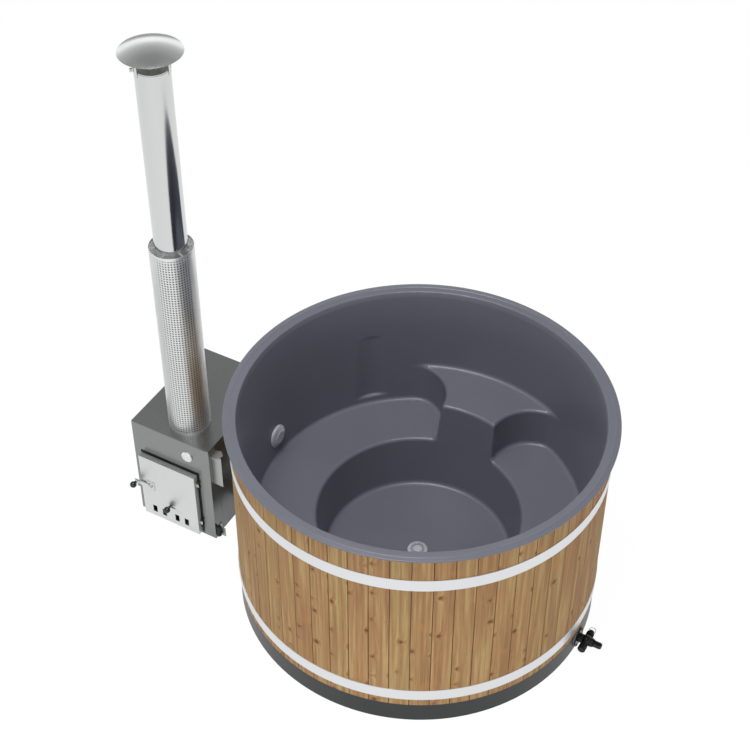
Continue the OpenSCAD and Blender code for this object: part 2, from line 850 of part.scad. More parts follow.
module valve_bail() {
  color("silver") at_valve() translate([valve_reach, bail_y, 0]) {
    for (s = [-1, 1]) {
      translate([s * bail_w, 0, 0]) rod_y(bail_r, 0, bail_leg);
      translate([s * bail_w, 0, 0]) sphere(r = bail_r, $fn = 48);
      rod_x(bail_r, s > 0 ? bail_boss_r - 4.5 : -bail_w, s > 0 ? bail_w : -bail_boss_r + 4.5);
    }
    translate([0, bail_leg, 0]) difference() {
      rotate_extrude() translate([bail_w, 0]) circle(r = bail_r, $fn = 48);
      translate([-bail_w - 5, -2 * bail_w - 10, -5]) cube([2 * bail_w + 10, 2 * bail_w + 10, 10]);
    }
  }
}

module hose_tail() {
  x0 = valve_reach + body_r;
  barb = tail_r + 1.5;
  n = 4;
  step = (tail_l - 14) / n;
  color("black") at_valve() rotate([0, 90, 0]) rotate_extrude() polygon(concat(
    [[valve_bore - 2, x0], [tail_r + 4, x0], [tail_r + 4, x0 + 7], [tail_r, x0 + 7]],
    [for (i = [0 : n - 1], k = [0, 1]) k == 0
      ? [barb, x0 + 10 + i * step]
      : [tail_r - 0.5, x0 + 10 + (i + 0.9) * step]],
    [[tail_r - 1.5, x0 + tail_l], [valve_bore - 2, x0 + tail_l]]
  ));
}

// ---- heater casing ----
module casing_front() {
  h = casing_h - sheet_t;
  color("gray") at_stove() difference() {
    union() {
      box(0, casing_w, 0, sheet_t, 0, h);
      box(0, sheet_t, 0, return_d, 0, h);
      box(casing_w - sheet_t, casing_w, 0, return_d, 0, h);
    }
    box(cut_x0, cut_x1, -over, sheet_t + over, cut_z0, cut_z1);
    translate([front_plug_x, 0, casing_h - front_plug_z]) rod_y(12.5, -over, sheet_t + over);
  }
}

module casing_cover() {
  h = casing_h - sheet_t;
  color("dimgray") at_stove() difference() {
    union() {
      box(0, casing_w, 0, casing_d, h, casing_h);
      box(0, sheet_t, return_d + seat_c, casing_d, side_clear, h);
      box(casing_w - sheet_t, casing_w, return_d + seat_c, casing_d, side_clear, h);
      box(0, casing_w, casing_d - sheet_t, casing_d, side_clear, h);
    }
    translate([flue_x, flue_y, h - over]) cylinder(r = flue_r + 1, h = sheet_t + 2 * over);
    for (z = [drain_z, inlet_z]) translate([0, port_y, z])
      rod_x(pipe_r + hole_c, casing_w - sheet_t - over, casing_w + over);
  }
}

module stove_body() {
  fx0 = jack_x0 + fire_in;
  fx1 = jack_x1 - fire_in;
  fy1 = jack_y1 - fire_in;
  fz1 = jack_z1 - fire_in;
  color("darkslategray") at_stove() difference() {
    union() {
      box(jack_x0, jack_x1, jack_y0, jack_y1, foot_h, jack_z1);
      for (x = [jack_x0 + 25, jack_x1 - 25], y = [jack_y0 + 25, jack_y1 - 25])
        translate([x, y, 0]) cylinder(r = foot_r, h = foot_h + over);
      for (z = [drain_z, inlet_z]) translate([jack_x1, port_y, z])
        rod_x(pipe_r, -2, port_end - stove_l - jack_x1);
      translate([flue_x, flue_y, jack_z1 - over]) cylinder(r = flue_in_r - flue_t - 0.2, h = spigot_h);
    }
    difference() {
      box(jack_x0 + jacket_t, jack_x1 - jacket_t, jack_y0 + front_plate, jack_y1 - jacket_t,
        fire_z, jack_z1 - jacket_t);
      box(fx0 - jacket_t, fx1 + jacket_t, jack_y0, fy1 + jacket_t, foot_h, fz1 + jacket_t);
      translate([flue_x, flue_y, fz1]) cylinder(r = flue_in_r - flue_t - 0.2, h = jack_z1 - fz1);
    }
    box(fx0, fx1, jack_y0 + front_plate, fy1, fire_z, fz1);
    box(mouth_x0, mouth_x1, jack_y0 - over, jack_y0 + front_plate + over, mouth_z0, mouth_z1);
    translate([flue_x, flue_y, fz1 - over])
      cylinder(r = flue_in_r - flue_t - 0.2 - jacket_t, h = jack_z1 - fz1 + spigot_h + over);
    for (z = [drain_z, inlet_z]) translate([jack_x1, port_y, z])
      rod_x(pipe_r - pipe_t, -jacket_t - over, port_end - stove_l - jack_x1 + over);
  }
}

module fire_grate() {
  x0 = jack_x0 + fire_in + 2;
  x1 = jack_x1 - fire_in - 2;
  y0 = jack_y0 + front_plate + 8;
  y1 = y0 + grate_l;
  z1 = fire_z + grate_h;
  bars = 11;
  pitch = (x1 - x0 - 20) / bars;
  color("black") at_stove() difference() {
    union() {
      box(x0, x1, y0, y1, z1 - grate_t, z1);
      for (x = [x0, x1 - 14], y = [y0, y1 - 14])
        box(x, x + 14, y, y + 14, fire_z, z1 - grate_t + over);
    }
    for (i = [0 : bars - 1])
      box(x0 + 14 + i * pitch, x0 + 14 + i * pitch + pitch / 2, y0 + 22, y1 - 22,
        z1 - grate_t - over, z1 + over);
  }
}

module ash_pan() {
  x0 = jack_x0 + fire_in + 24;
  x1 = jack_x1 - fire_in - 24;
  y0 = jack_y0 + front_plate + 10;
  y1 = y0 + grate_l - 10;
  color("slategray") at_stove() difference() {
    box(x0, x1, y0, y1, fire_z, fire_z + pan_h);
    box(x0 + pan_t, x1 - pan_t, y0 + pan_t, y1 - pan_t, fire_z + pan_t, fire_z + pan_h + over);
  }
}

// ---- door ----
module rect_ring(x0, x1, z0, z1, w, y0, y1) {
  difference() {
    box(x0, x1, y0, y1, z0, z1);
    box(x0 + w, x1 - w, y0 - over, y1 + over, z0 + w, z1 - w);
  }
}

// Middle heights of the two hinges
hinge_zs = [door_z + hinge_in, door_z + door_h - hinge_in];
kn_off = door_knuckle_h / 2 + knuckle_gap;

module door_frame() {
  color("black") at_stove() difference() {
    union() {
      difference() {
        box(cut_x0 + 1, cut_x1 - 1, frame_front, jack_y0, cut_z0 + 1, cut_z1 - 1);
        box(mouth_x0, mouth_x1, frame_front - over, jack_y0 + over, mouth_z0, mouth_z1);
      }
      for (z = hinge_zs, s = [0, 1]) {
        k0 = s == 0 ? z - kn_off - knuckle_h : z + kn_off;
        translate([hinge_x, hinge_y, k0]) cylinder(r = knuckle_r, h = knuckle_h);
        box(hinge_x + 0.2, hinge_x + knuckle_r - 0.4, hinge_y, frame_front + over,
          k0, k0 + knuckle_h);
      }
    }
    for (z = hinge_zs) translate([hinge_x, hinge_y, z - kn_off - knuckle_h - over])
      cylinder(r = pin_r, h = 2 * kn_off + 2 * knuckle_h + 2 * over);
  }
}

module door_seal() {
  front = -(door_out - door_d - seat_c);
  color("darkgray") at_stove() rect_ring(mouth_x0 - seal_w - 2, mouth_x1 + seal_w + 2,
    mouth_z0 - seal_w - 2, mouth_z1 + seal_w + 2, seal_w, front, frame_front);
}

module hinge_pins() {
  color("silver") at_stove() for (z = hinge_zs)
    translate([hinge_x, hinge_y, z - kn_off - knuckle_h])
      cylinder(r = pin_r, h = 2 * kn_off + 2 * knuckle_h);
}

module vents(y0, y1) {
  for (x = vent_x)
    box(door_mid + x - vent_w / 2, door_mid + x + vent_w / 2, y0, y1,
      vent_y - vent_h / 2, vent_y + vent_h / 2);
}

module door_shell() {
  x0 = door_x;
  x1 = door_x + door_w;
  z0 = door_z;
  z1 = door_z + door_h;
  yf = -door_out;
  yb = -(door_out - door_d);
  color("gainsboro") at_stove() difference() {
    union() {
      difference() {
        box(x0, x1, yf, yb, z0, z1);
        box(x0 + door_t, x1 - door_t, yf + door_t, yb + over, z0 + door_t, z1 - door_t);
      }
      for (z = hinge_zs) {
        translate([hinge_x, hinge_y, z - door_knuckle_h / 2])
          cylinder(r = knuckle_r, h = door_knuckle_h);
        box(x1 - 1, hinge_x, hinge_y - knuckle_r + 0.4, hinge_y - 0.2,
          z - door_knuckle_h / 2, z + door_knuckle_h / 2);
      }
    }
    for (z = hinge_zs) translate([hinge_x, hinge_y, z - door_knuckle_h])
      cylinder(r = pin_r + pin_c, h = 2 * door_knuckle_h);
    vents(yf - over, yf + door_t + over);
    for (x = [0, slide_go]) translate([door_mid + x, 0, knob_z])
      rod_y(rod_r + slide_c, yf - over, yf + door_t + over);
    box(door_mid, door_mid + slide_go, yf - over, yf + door_t + over,
      knob_z - rod_r - slide_c, knob_z + rod_r + slide_c);
  }
}

module door_back() {
  x0 = door_x + door_t + seat_c;
  x1 = door_x + door_w - door_t - seat_c;
  z0 = door_z + door_t + seat_c;
  z1 = door_z + door_h - door_t - seat_c;
  yb = -(door_out - door_d);
  color("gray") at_stove() difference() {
    box(x0, x1, yb - door_t, yb, z0, z1);
    box(mouth_x0 + 20, mouth_x1 - 20, yb - door_t - over, yb + over,
      mouth_z0 + 4, mouth_z0 + 1.5 * vent_h);
  }
}

module slide_rails() {
  x0 = door_mid - slide_w / 2 - 6;
  x1 = door_mid + slide_w / 2 + slide_go + 3;
  y0 = -(door_out - door_t);
  lip = slide_y + slide_t + slide_c;
  color("gray") at_stove() {
    box(x0, x1, y0, lip + 2, slide_h1 + slide_c, slide_h1 + rail_h);
    box(x0, x1, lip, lip + 2, slide_h1 - 4, slide_h1 + rail_h);
    box(x0, x1, y0, lip + 2, slide_h0 - rail_h, slide_h0 - slide_c);
    box(x0, x1, lip, lip + 2, slide_h0 - rail_h, slide_h0 + 4);
  }
}

module draught_slide() {
  color("dimgray") at_stove() difference() {
    union() {
      box(door_mid - slide_w / 2, door_mid + slide_w / 2, slide_y, slide_y + slide_t,
        slide_h0, slide_h1);
      translate([door_mid, 0, knob_z])
        rod_y(rod_r, -(door_out + 16 + ball_r / 2), slide_y + over);
    }
    vents(slide_y - over, slide_y + slide_t + over);
  }
}

module ball_knob(y_face) {
  difference() {
    union() {
      translate([0, y_face - ball_r, 0]) sphere(r = ball_r);
      rod_y(rod_r + 3, y_face - ball_r, y_face + 4);
    }
    rod_y(rod_r, y_face - ball_r, y_face + 4 + over);
  }
}

module slide_knob_ball() {
  color("black") at_stove() translate([door_mid, 0, knob_z])
    ball_knob(-(door_out + 16) + ball_r / 2);
}

module latch_plate() {
  color("silver") at_stove() translate([latch_px, 0, latch_pz]) {
    box(-20, 20, -door_out - plate_t, -door_out, -26, 26);
    rod_y(4, latch_y - latch_t - 1, -door_out - plate_t + over);
    rod_y(8, latch_y - latch_t - 4, latch_y - latch_t - 1);
  }
}

module latch_bar() {
  y1 = latch_y;
  y0 = latch_y - latch_t;
  color("gainsboro") at_stove() translate([latch_px, 0, latch_pz]) difference() {
    union() {
      box(-latch_l, 0, y0, y1, -latch_h / 2, latch_h / 2);
      rod_y(latch_h / 2, y0, y1);
      translate([-latch_l + ball_neck, 0, 0]) rod_y(rod_r, y0 - 20, y0 + over);
    }
    rod_y(4 + pin_c, y0 - over, y1 + over);
  }
}

module latch_ball() {
  color("black") at_stove() translate([latch_px - latch_l + ball_neck, 0, latch_pz])
    ball_knob(latch_y - latch_t - 10);
}

// A hook that the lowered bar drops into; the lifted bar passes over its lip
module latch_keeper() {
  rest = latch_pz - latch_h / 2;
  fall = (latch_px - keeper_x) * sin(latch_drop) + 1;
  lip_y = latch_y - latch_t - 0.6;
  color("silver") at_stove() {
    box(keeper_x, keeper_x + keeper_w, -3, 0, rest - 34, rest - 0.6);
    box(keeper_x, keeper_x + keeper_w, lip_y - 3, -2, rest - fall - 3, rest - fall);
    box(keeper_x, keeper_x + keeper_w, lip_y - 3, lip_y, rest - fall - 3, rest - 0.6);
  }
}

// ---- casing fittings ----
module front_plug() {
  color("silver") at_stove() translate([front_plug_x, 0, casing_h - front_plug_z]) {
    difference() {
      union() {
        rod_y(front_plug_r, -6, 0);
        for (a = [0 : 45 : 315]) rotate([0, a, 0])
          translate([0, 0, front_plug_r - 8]) rod_y(5, -9, -6 + over);
        rod_y(8, -10, -5);
      }
    }
    rod_y(12, -over, jack_y0);
  }
}

// An angle plate on the casing side, with a corner-cut tab on top where tab is set
module side_bracket(out, z0, h, tab) {
  difference() {
    union() {
      box(casing_w, casing_w + out, bracket_y - 1.5, bracket_y + 1.5, z0, z0 + h);
      box(casing_w, casing_w + 3, bracket_y - 1.5, bracket_y + 28, z0, z0 + h);
      if (tab) intersection() {
        translate([casing_w + 16, bracket_y + 13, z0 + h - 3]) rotate([0, 0, 15])
          cylinder(r = 29, h = 3, $fn = 6);
        box(casing_w, casing_w + out, bracket_y - out, bracket_y + out, z0 + h - 3, z0 + h);
      }
    }
  }
}

module upper_bracket() {
  color("darkgray") at_stove() side_bracket(bracket_out, bracket_z, bracket_h, true);
}

module lower_bracket() {
  color("darkgray") at_stove() side_bracket(bracket_low_out, 13, 51, false);
}

// A waisted rubber bumper on the casing side, ahead of the lower bracket
module side_bumper() {
  color("black") at_stove() {
    translate([casing_w + bumper_r, bracket_y - 2 - bumper_r, bumper_z]) rotate_extrude() polygon([
      [0, 0], [bumper_r - 1, 0], [bumper_r, 1], [bumper_r, bumper_h / 4],
      [bumper_r - 3, bumper_h / 4 + 6], [bumper_r - 3, 3 * bumper_h / 4 - 6],
      [bumper_r, 3 * bumper_h / 4], [bumper_r, bumper_h - 1], [bumper_r - 1, bumper_h],
      [0, bumper_h]
    ]);
    box(casing_w, casing_w + bumper_r, bracket_y - 2 - bumper_r - 5, bracket_y - 2 - bumper_r + 5,
      bumper_z + 2, bumper_z + bumper_h - 2);
  }
}

// ---- chimney ----
module flue_lower() {
  color("silver") at_flue() translate([0, 0, casing_h - sheet_t])
    tube(flue_in_r, flue_in_r - flue_t, flue_joint + flue_lap - casing_h + sheet_t);
}

module flue_upper() {
  color("gainsboro") at_flue() translate([0, 0, flue_joint])
    tube(flue_r, flue_r - flue_t, flue_top - flue_joint);
}

module heat_shield() {
  color("lightgray") at_flue() translate([0, 0, casing_h])
    tube(shield_r, shield_r - shield_t, shield_top - casing_h);
}

module shield_spacers() {
  color("silver") at_flue() for (z = [casing_h + 40, shield_top - 26], a = [0 : 60 : 300])
    rotate([0, 0, a + 38]) difference() {
      box(flue_in_r - 1, shield_r, -5, 5, z, z + 20);
      translate([0, 0, z - over]) cylinder(r = flue_in_r + 0.2, h = 30);
      translate([0, 0, z - over]) difference() {
        cylinder(r = shield_r + 20, h = 30);
        cylinder(r = shield_r - shield_t - 0.2, h = 30);
      }
    }
}

module cap_clamp() {
  z0 = flue_top - 22;
  color("gainsboro") at_flue() {
    translate([0, 0, z0]) tube(clamp_r, flue_r + 0.2, 18);
    rotate([0, 0, leg_az + 204]) difference() {
      union() for (s = [-1, 1]) translate([clamp_r - 0.4, s * 3.5 - 0.75, z0 + 2])
        cube([13, 1.5, 14]);
      translate([clamp_r + 7, 0, z0 + 9]) rod_y(2.1, -10, 10);
    }
  }
}

module cap_screw() {
  color("silver") at_flue() rotate([0, 0, leg_az + 204])
    translate([clamp_r + 7, 0, flue_top - 13]) {
      rod_y(2, -9, 6);
      rod_y(4, 4.25, 8);
      rod_y(4, -7.5, -4.25, $fn = 6);
    }
}

module cap_legs() {
  under = rain_c + sqrt(pow(rain_R - rain_t - 0.2, 2) - pow(clamp_r + leg_t, 2));
  color("gainsboro") at_flue() for (a = [0, 120, 240]) rotate([0, 0, leg_az + a])
    box(clamp_r + 0.1, clamp_r + 0.1 + leg_t, -leg_w / 2, leg_w / 2, flue_top - 20, under - seat_c);
}

module rain_cap() {
  color("silver") at_flue() intersection() {
    difference() {
      translate([0, 0, rain_c]) sphere(r = rain_R, $fn = 180);
      translate([0, 0, rain_c]) sphere(r = rain_R - rain_t, $fn = 180);
    }
    translate([0, 0, rain_z]) cylinder(r = rain_r + 5, h = rain_rise + 5);
  }
}

liner();
staves();
inlet_staves();
upper_band();
lower_band();
band_lugs();
band_bolts();
plinth();
base_board();
floor_joists();
bench_posts();
floor_ring();
floor_grille();
floor_outlet();
drain_pipe();
cold_pipe();
wall_fitting();
wall_grille();
wall_nut();
cold_sleeve();
hot_sleeve();
hose_clamps();
valve_gasket();
valve_body();
valve_plug();
valve_knob();
valve_cap();
valve_bail();
hose_tail();
casing_front();
casing_cover();
stove_body();
fire_grate();
ash_pan();
door_frame();
door_seal();
hinge_pins();
door_shell();
door_back();
slide_rails();
draught_slide();
slide_knob_ball();
latch_plate();
latch_bar();
latch_ball();
latch_keeper();
front_plug();
upper_bracket();
lower_bracket();
side_bumper();
flue_lower();
flue_upper();
heat_shield();
shield_spacers();
cap_clamp();
cap_screw();
cap_legs();
rain_cap();
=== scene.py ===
"""Looks of a round wooden hot tub with an outside wood-fired heater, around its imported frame."""
import math

import bmesh
import bpy
import numpy as np
from mathutils import Matrix, Vector


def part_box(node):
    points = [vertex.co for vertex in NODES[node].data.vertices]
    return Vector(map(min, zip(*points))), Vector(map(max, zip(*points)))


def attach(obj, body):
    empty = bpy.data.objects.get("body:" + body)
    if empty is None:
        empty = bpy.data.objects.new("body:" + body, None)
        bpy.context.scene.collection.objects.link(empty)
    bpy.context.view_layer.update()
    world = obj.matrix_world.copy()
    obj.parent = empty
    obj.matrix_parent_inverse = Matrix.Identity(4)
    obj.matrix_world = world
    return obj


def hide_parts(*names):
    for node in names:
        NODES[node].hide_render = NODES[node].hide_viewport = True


bl_info = {
    "name": "Wood-fired hot tub",
    "version": (1, 0, 0),
    "blender": (4, 5, 0),
    "location": "3D View > Sidebar > Hot tub",
    "description": "Builds the visible pieces and finishes of a staved hot tub and its heater",
    "category": "Object",
}

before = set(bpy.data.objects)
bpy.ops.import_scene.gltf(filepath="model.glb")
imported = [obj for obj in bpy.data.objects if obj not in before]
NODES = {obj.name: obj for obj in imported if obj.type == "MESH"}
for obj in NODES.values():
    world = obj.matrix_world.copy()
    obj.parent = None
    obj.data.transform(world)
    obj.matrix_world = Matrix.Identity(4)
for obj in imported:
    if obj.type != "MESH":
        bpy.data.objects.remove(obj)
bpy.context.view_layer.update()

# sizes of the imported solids, in metres
LINER_LOW, LINER_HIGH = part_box("liner")
RIM_Z = LINER_HIGH.z
RIM_R = LINER_HIGH.x
STAVE_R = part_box("staves")[1].x
SHIELD_LOW, SHIELD_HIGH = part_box("heat_shield")
FLUE_X = (SHIELD_LOW.x + SHIELD_HIGH.x) / 2
FLUE_Y = (SHIELD_LOW.y + SHIELD_HIGH.y) / 2
FLUE_R = (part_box("flue_upper")[1].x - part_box("flue_upper")[0].x) / 2
# boards round the tub, the bearing of the first joint and the width of a board's face
STAVES, STAVE_PHASE, BOARD = 59, math.radians(-94.8), 0.082


# ---------------------------------------------------------------- settings

class HotTubFinishes(bpy.types.PropertyGroup):
    """Colours of the finishes"""
    liner: bpy.props.StringProperty(
        name="Liner", description="Grey-blue of the moulded liner, as sRGB hex", default="#6D6F7A")
    pine: bpy.props.StringProperty(
        name="Staves", description="Middle tone of the pine staves, as sRGB hex", default="#B99467")
    plinth: bpy.props.StringProperty(
        name="Plinth", description="Grey of the plinth ring, as sRGB hex", default="#282B2A")
    casing: bpy.props.StringProperty(
        name="Casing", description="Grey of the heater casing, as sRGB hex", default="#8F9291")
    stainless: bpy.props.StringProperty(
        name="Stainless steel", description="Tone of the stainless sheet, as sRGB hex", default="#DADCDC")
    black: bpy.props.StringProperty(
        name="Black plastic", description="Tone of the knobs and the valve, as sRGB hex", default="#101012")


class HotTubSizes(bpy.types.PropertyGroup):
    """Sizes of the details that the solids leave plain"""
    stave_edge: bpy.props.FloatProperty(
        name="Stave edge", description="Chamfer along the outer edges of a stave",
        default=0.0024, min=0.0005, max=0.006, unit="LENGTH")
    hole_columns: bpy.props.IntProperty(
        name="Hole columns", description="Columns of holes round the heat shield",
        default=48, min=24, max=60)
    hole_rows: bpy.props.IntProperty(
        name="Hole rows", description="Rows of holes up the heat shield",
        default=76, min=30, max=90)
    hole_radius: bpy.props.FloatProperty(
        name="Hole radius", description="Radius of a hole of the heat shield",
        default=0.0039, min=0.0015, max=0.004, unit="LENGTH")
    edge_soft: bpy.props.FloatProperty(
        name="Liner edge", description="Rounding of the liner's outward edges",
        default=0.014, min=0.006, max=0.03, unit="LENGTH")
    corner_soft: bpy.props.FloatProperty(
        name="Liner corner", description="Rounding of the liner's inward corners",
        default=0.016, min=0.006, max=0.04, unit="LENGTH")


# ---------------------------------------------------------------- nodes

def rgb(text, share=1.0):
    """An sRGB hex colour as the linear colour that the nodes take, with a share of its light."""
    parts = [int(text[i:i + 2], 16) / 255 for i in (1, 3, 5)]
    light = [c / 12.92 if c <= 0.04045 else ((c + 0.055) / 1.055) ** 2.4 for c in parts]
    return tuple(min(1.0, c * share) for c in light) + (1.0,)


def feed(tree, node, inputs):
    """Gives a node its inputs: a socket is linked, a node by its first output in use, the rest is set."""
    for key, value in inputs.items():
        if isinstance(value, bpy.types.Node):
            value = next(socket for socket in value.outputs if socket.enabled)
        if isinstance(value, bpy.types.NodeSocket):
            tree.links.new(value, node.inputs[key])
        else:
            node.inputs[key].default_value = value


def add(tree, kind, inputs=None, **settings):
    """One node with its settings and its inputs."""
    node = tree.nodes.new(kind)
    for key, value in settings.items():
        setattr(node, key, value)
    feed(tree, node, inputs or {})
    return node


def blank(holder):
    """The emptied node tree of a material or a world."""
    holder.use_nodes = True
    holder.node_tree.nodes.clear()
    return holder.node_tree


def start(name, **plain):
    """A new material with one Principled shader, whose plain settings stand on its own sockets."""
    material = bpy.data.materials.new(name)
    tree = blank(material)
    shader = add(tree, "ShaderNodeBsdfPrincipled", {k.replace("_", " "): v for k, v in plain.items()})
    add(tree, "ShaderNodeOutputMaterial", {"Surface": shader})
    place = add(tree, "ShaderNodeTexCoord").outputs["Object"]
    return material, tree, shader, place


# ---------------------------------------------------------------- finishes

# how a brushed finish is drawn out: up, round the tub, across the door, or not at all
BRUSH_UP, BRUSH_ROUND = (1.0, 1.0, 0.02), (0.02, 0.02, 1.0)
BRUSH_ACROSS, UNBRUSHED = (0.03, 1.0, 1.0), (1.0, 1.0, 1.0)
# sawn grain: along Y or up
GRAIN_Y, GRAIN_UP = (1.0, 0.05, 1.0), (1.0, 1.0, 0.05)
FLUE_AXIS = (FLUE_X, FLUE_Y, 0.0)
# every point of the upper flue nearer to the axis than this is on the pipe's inside
FLUE_INSIDE = FLUE_R - 0.0008
FLUE_SHEEN, ZINC_SHEEN = (0.1, 0.16), (0.28, 0.4)
# the fire's tint ends between these heights above the heat shield, lowered by waves of up to the third
TINT_LOW, TINT_HIGH, TINT_WAVE = 0.010, 0.045, 0.12


def liner_plastic(looks):
    """Polyethylene, rotation moulded: even grey-blue with a satin skin and a faint orange peel."""
    material, tree, shader, place = start("moulded polyethylene liner", IOR=1.5)
    cloud = add(tree, "ShaderNodeTexNoise", {"Vector": place, "Scale": 3.0, "Detail": 3.0})
    tone = add(tree, "ShaderNodeMix", {"Factor": cloud, "A": rgb(looks.liner, 0.93), "B": rgb(looks.liner, 1.07)},
               data_type="RGBA")
    # waves of 3 mm, seen only in the sheen
    peel = add(tree, "ShaderNodeTexNoise", {"Vector": place, "Scale": 330.0, "Detail": 2.0})
    sheen = add(tree, "ShaderNodeMapRange", {"Value": peel, "To Min": 0.28, "To Max": 0.38})
    bump = add(tree, "ShaderNodeBump", {"Strength": 0.12, "Distance": 0.0004, "Height": peel})
    feed(tree, shader, {"Base Color": tone, "Roughness": sheen, "Normal": bump})
    return material


def pine_staves(looks):
    """Heat-treated pine boards, planed: yellowish and pinkish-brown zones along the grain, fine
    growth lines that bend round small dark knots, each board its own piece of the log."""
    material, tree, shader, place = start("heat-treated pine", IOR=1.45)
    xyz = add(tree, "ShaderNodeSeparateXYZ", {"Vector": place}).outputs
    angle = add(tree, "ShaderNodeMath", {0: xyz["Y"], 1: xyz["X"]}, operation="ARCTAN2")
    turned = add(tree, "ShaderNodeMath", {0: angle, 1: 2 * math.pi - STAVE_PHASE}, operation="ADD")
    pitch = add(tree, "ShaderNodeMath", {0: turned, 1: STAVES / (2 * math.pi)}, operation="MULTIPLY")
    wrapped = add(tree, "ShaderNodeMath", {0: pitch, 1: float(STAVES)}, operation="MODULO")
    board = add(tree, "ShaderNodeMath", {0: wrapped}, operation="FLOOR")
    across = add(tree, "ShaderNodeMath", {0: wrapped}, operation="FRACT")
    luck = add(tree, "ShaderNodeTexWhiteNoise", {"W": board}, noise_dimensions="1D")
    # metres across the grain: each board starts somewhere else within 53 m
    log = add(tree, "ShaderNodeMath", {0: luck, 1: 53.0}, operation="MULTIPLY")
    wide = add(tree, "ShaderNodeMath", {0: across, 1: BOARD, 2: log}, operation="MULTIPLY_ADD")
    face = add(tree, "ShaderNodeCombineXYZ", {"X": wide, "Y": xyz["Z"]})
    # knots: one in about four cells of 75 mm, up to 20 mm across, a little ragged
    rag = add(tree, "ShaderNodeTexNoise", {"Vector": face, "Scale": 60.0, "Detail": 2.0}).outputs["Color"]
    ragged = add(tree, "ShaderNodeVectorMath", {0: rag, 1: (0.010, 0.010, 0.0), 2: face}, operation="MULTIPLY_ADD")
    knot = add(tree, "ShaderNodeTexVoronoi", {"Vector": ragged, "Scale": 13.3, "Randomness": 0.9},
               voronoi_dimensions="2D")
    chance = add(tree, "ShaderNodeSeparateColor", {"Color": knot.outputs["Color"]})
    size = add(tree, "ShaderNodeMapRange", {"Value": chance, "From Min": 0.72, "From Max": 1.0,
                                            "To Min": 0.0, "To Max": 0.14})
    real = add(tree, "ShaderNodeMath", {0: chance, 1: 0.75}, operation="GREATER_THAN")
    rim = add(tree, "ShaderNodeMath", {0: knot, 1: size}, operation="SUBTRACT")
    core = add(tree, "ShaderNodeMapRange", {"Value": rim, "From Min": -0.05, "From Max": 0.03,
                                            "To Min": 0.8, "To Max": 0.0})
    halo = add(tree, "ShaderNodeMapRange", {"Value": rim, "From Min": 0.0, "From Max": 0.2,
                                            "To Min": 0.55, "To Max": 0.0}, interpolation_type="SMOOTHSTEP")
    reddish = add(tree, "ShaderNodeMath", {0: halo, 1: real}, operation="MULTIPLY")
    # the grain swells round a knot
    near = add(tree, "ShaderNodeMapRange", {"Value": rim, "From Min": 0.0, "From Max": 0.34,
                                            "To Min": 0.010, "To Max": 0.0}, interpolation_type="SMOOTHSTEP")
    pushed = add(tree, "ShaderNodeMath", {0: near, 1: real, 2: wide}, operation="MULTIPLY_ADD")
    flow = add(tree, "ShaderNodeCombineXYZ", {"X": pushed, "Y": xyz["Z"]})
    # zones of about 17 mm and growth lines of about 3 mm, both drawn out along the board
    long = add(tree, "ShaderNodeMapping", {"Vector": flow, "Scale": (1.0, 0.03, 1.0)})
    zones = add(tree, "ShaderNodeTexNoise", {"Vector": long, "Scale": 58.0, "Detail": 2.5, "Distortion": 0.25},
                noise_dimensions="2D")
    lines = add(tree, "ShaderNodeTexNoise", {"Vector": long, "Scale": 300.0, "Detail": 3.0, "Roughness": 0.6},
                noise_dimensions="2D")
    body = add(tree, "ShaderNodeValToRGB", {"Fac": zones})
    stops = body.color_ramp.elements
    stops[0].position, stops[0].color = 0.34, rgb("#AA8158")
    stops[1].position, stops[1].color = 0.70, rgb("#C9AC7A")
    stops.new(0.52).color = rgb(looks.pine)
    tint = add(tree, "ShaderNodeMix", {"Factor": luck, "A": rgb("#F8FAEC"), "B": rgb("#FAF0E8")}, data_type="RGBA")
    tinted = add(tree, "ShaderNodeMix", {"Factor": 1.0, "A": body, "B": tint}, data_type="RGBA",
                 blend_type="MULTIPLY")
    level = add(tree, "ShaderNodeMapRange", {"Value": lines, "From Min": 0.3, "From Max": 0.7,
                                             "To Min": 0.86, "To Max": 1.08})
    lined = add(tree, "ShaderNodeVectorMath", {0: tinted, "Scale": level}, operation="SCALE")
    # resin stains, a hand wide and faint
    stain = add(tree, "ShaderNodeTexNoise", {"Vector": face, "Scale": 9.0, "Detail": 2.0}, noise_dimensions="2D")
    resin = add(tree, "ShaderNodeMapRange", {"Value": stain, "From Min": 0.6, "From Max": 0.8,
                                             "To Min": 0.0, "To Max": 0.5})
    # joints: the planed corners darken over the last 2.5 mm of a board's width
    off = add(tree, "ShaderNodeMath", {0: across, 1: 0.5}, operation="SUBTRACT")
    far = add(tree, "ShaderNodeMath", {0: off}, operation="ABSOLUTE")
    seam = add(tree, "ShaderNodeMapRange", {"Value": far, "From Min": 0.470, "From Max": 0.492,
                                            "To Min": 0.0, "To Max": 0.75})
    tone = lined
    for share, colour in ((resin, "#C08A55"), (reddish, "#9A6538"), (core, "#58371C"), (seam, "#6A4827")):
        tone = add(tree, "ShaderNodeMix", {"Factor": share, "A": tone, "B": rgb(colour)}, data_type="RGBA")
    dull = add(tree, "ShaderNodeMapRange", {"Value": lines, "To Min": 0.62, "To Max": 0.8})
    bump = add(tree, "ShaderNodeBump", {"Strength": 0.35, "Distance": 0.0005, "Height": lines})
    feed(tree, shader, {"Base Color": tone, "Roughness": dull, "Normal": bump})
    return material


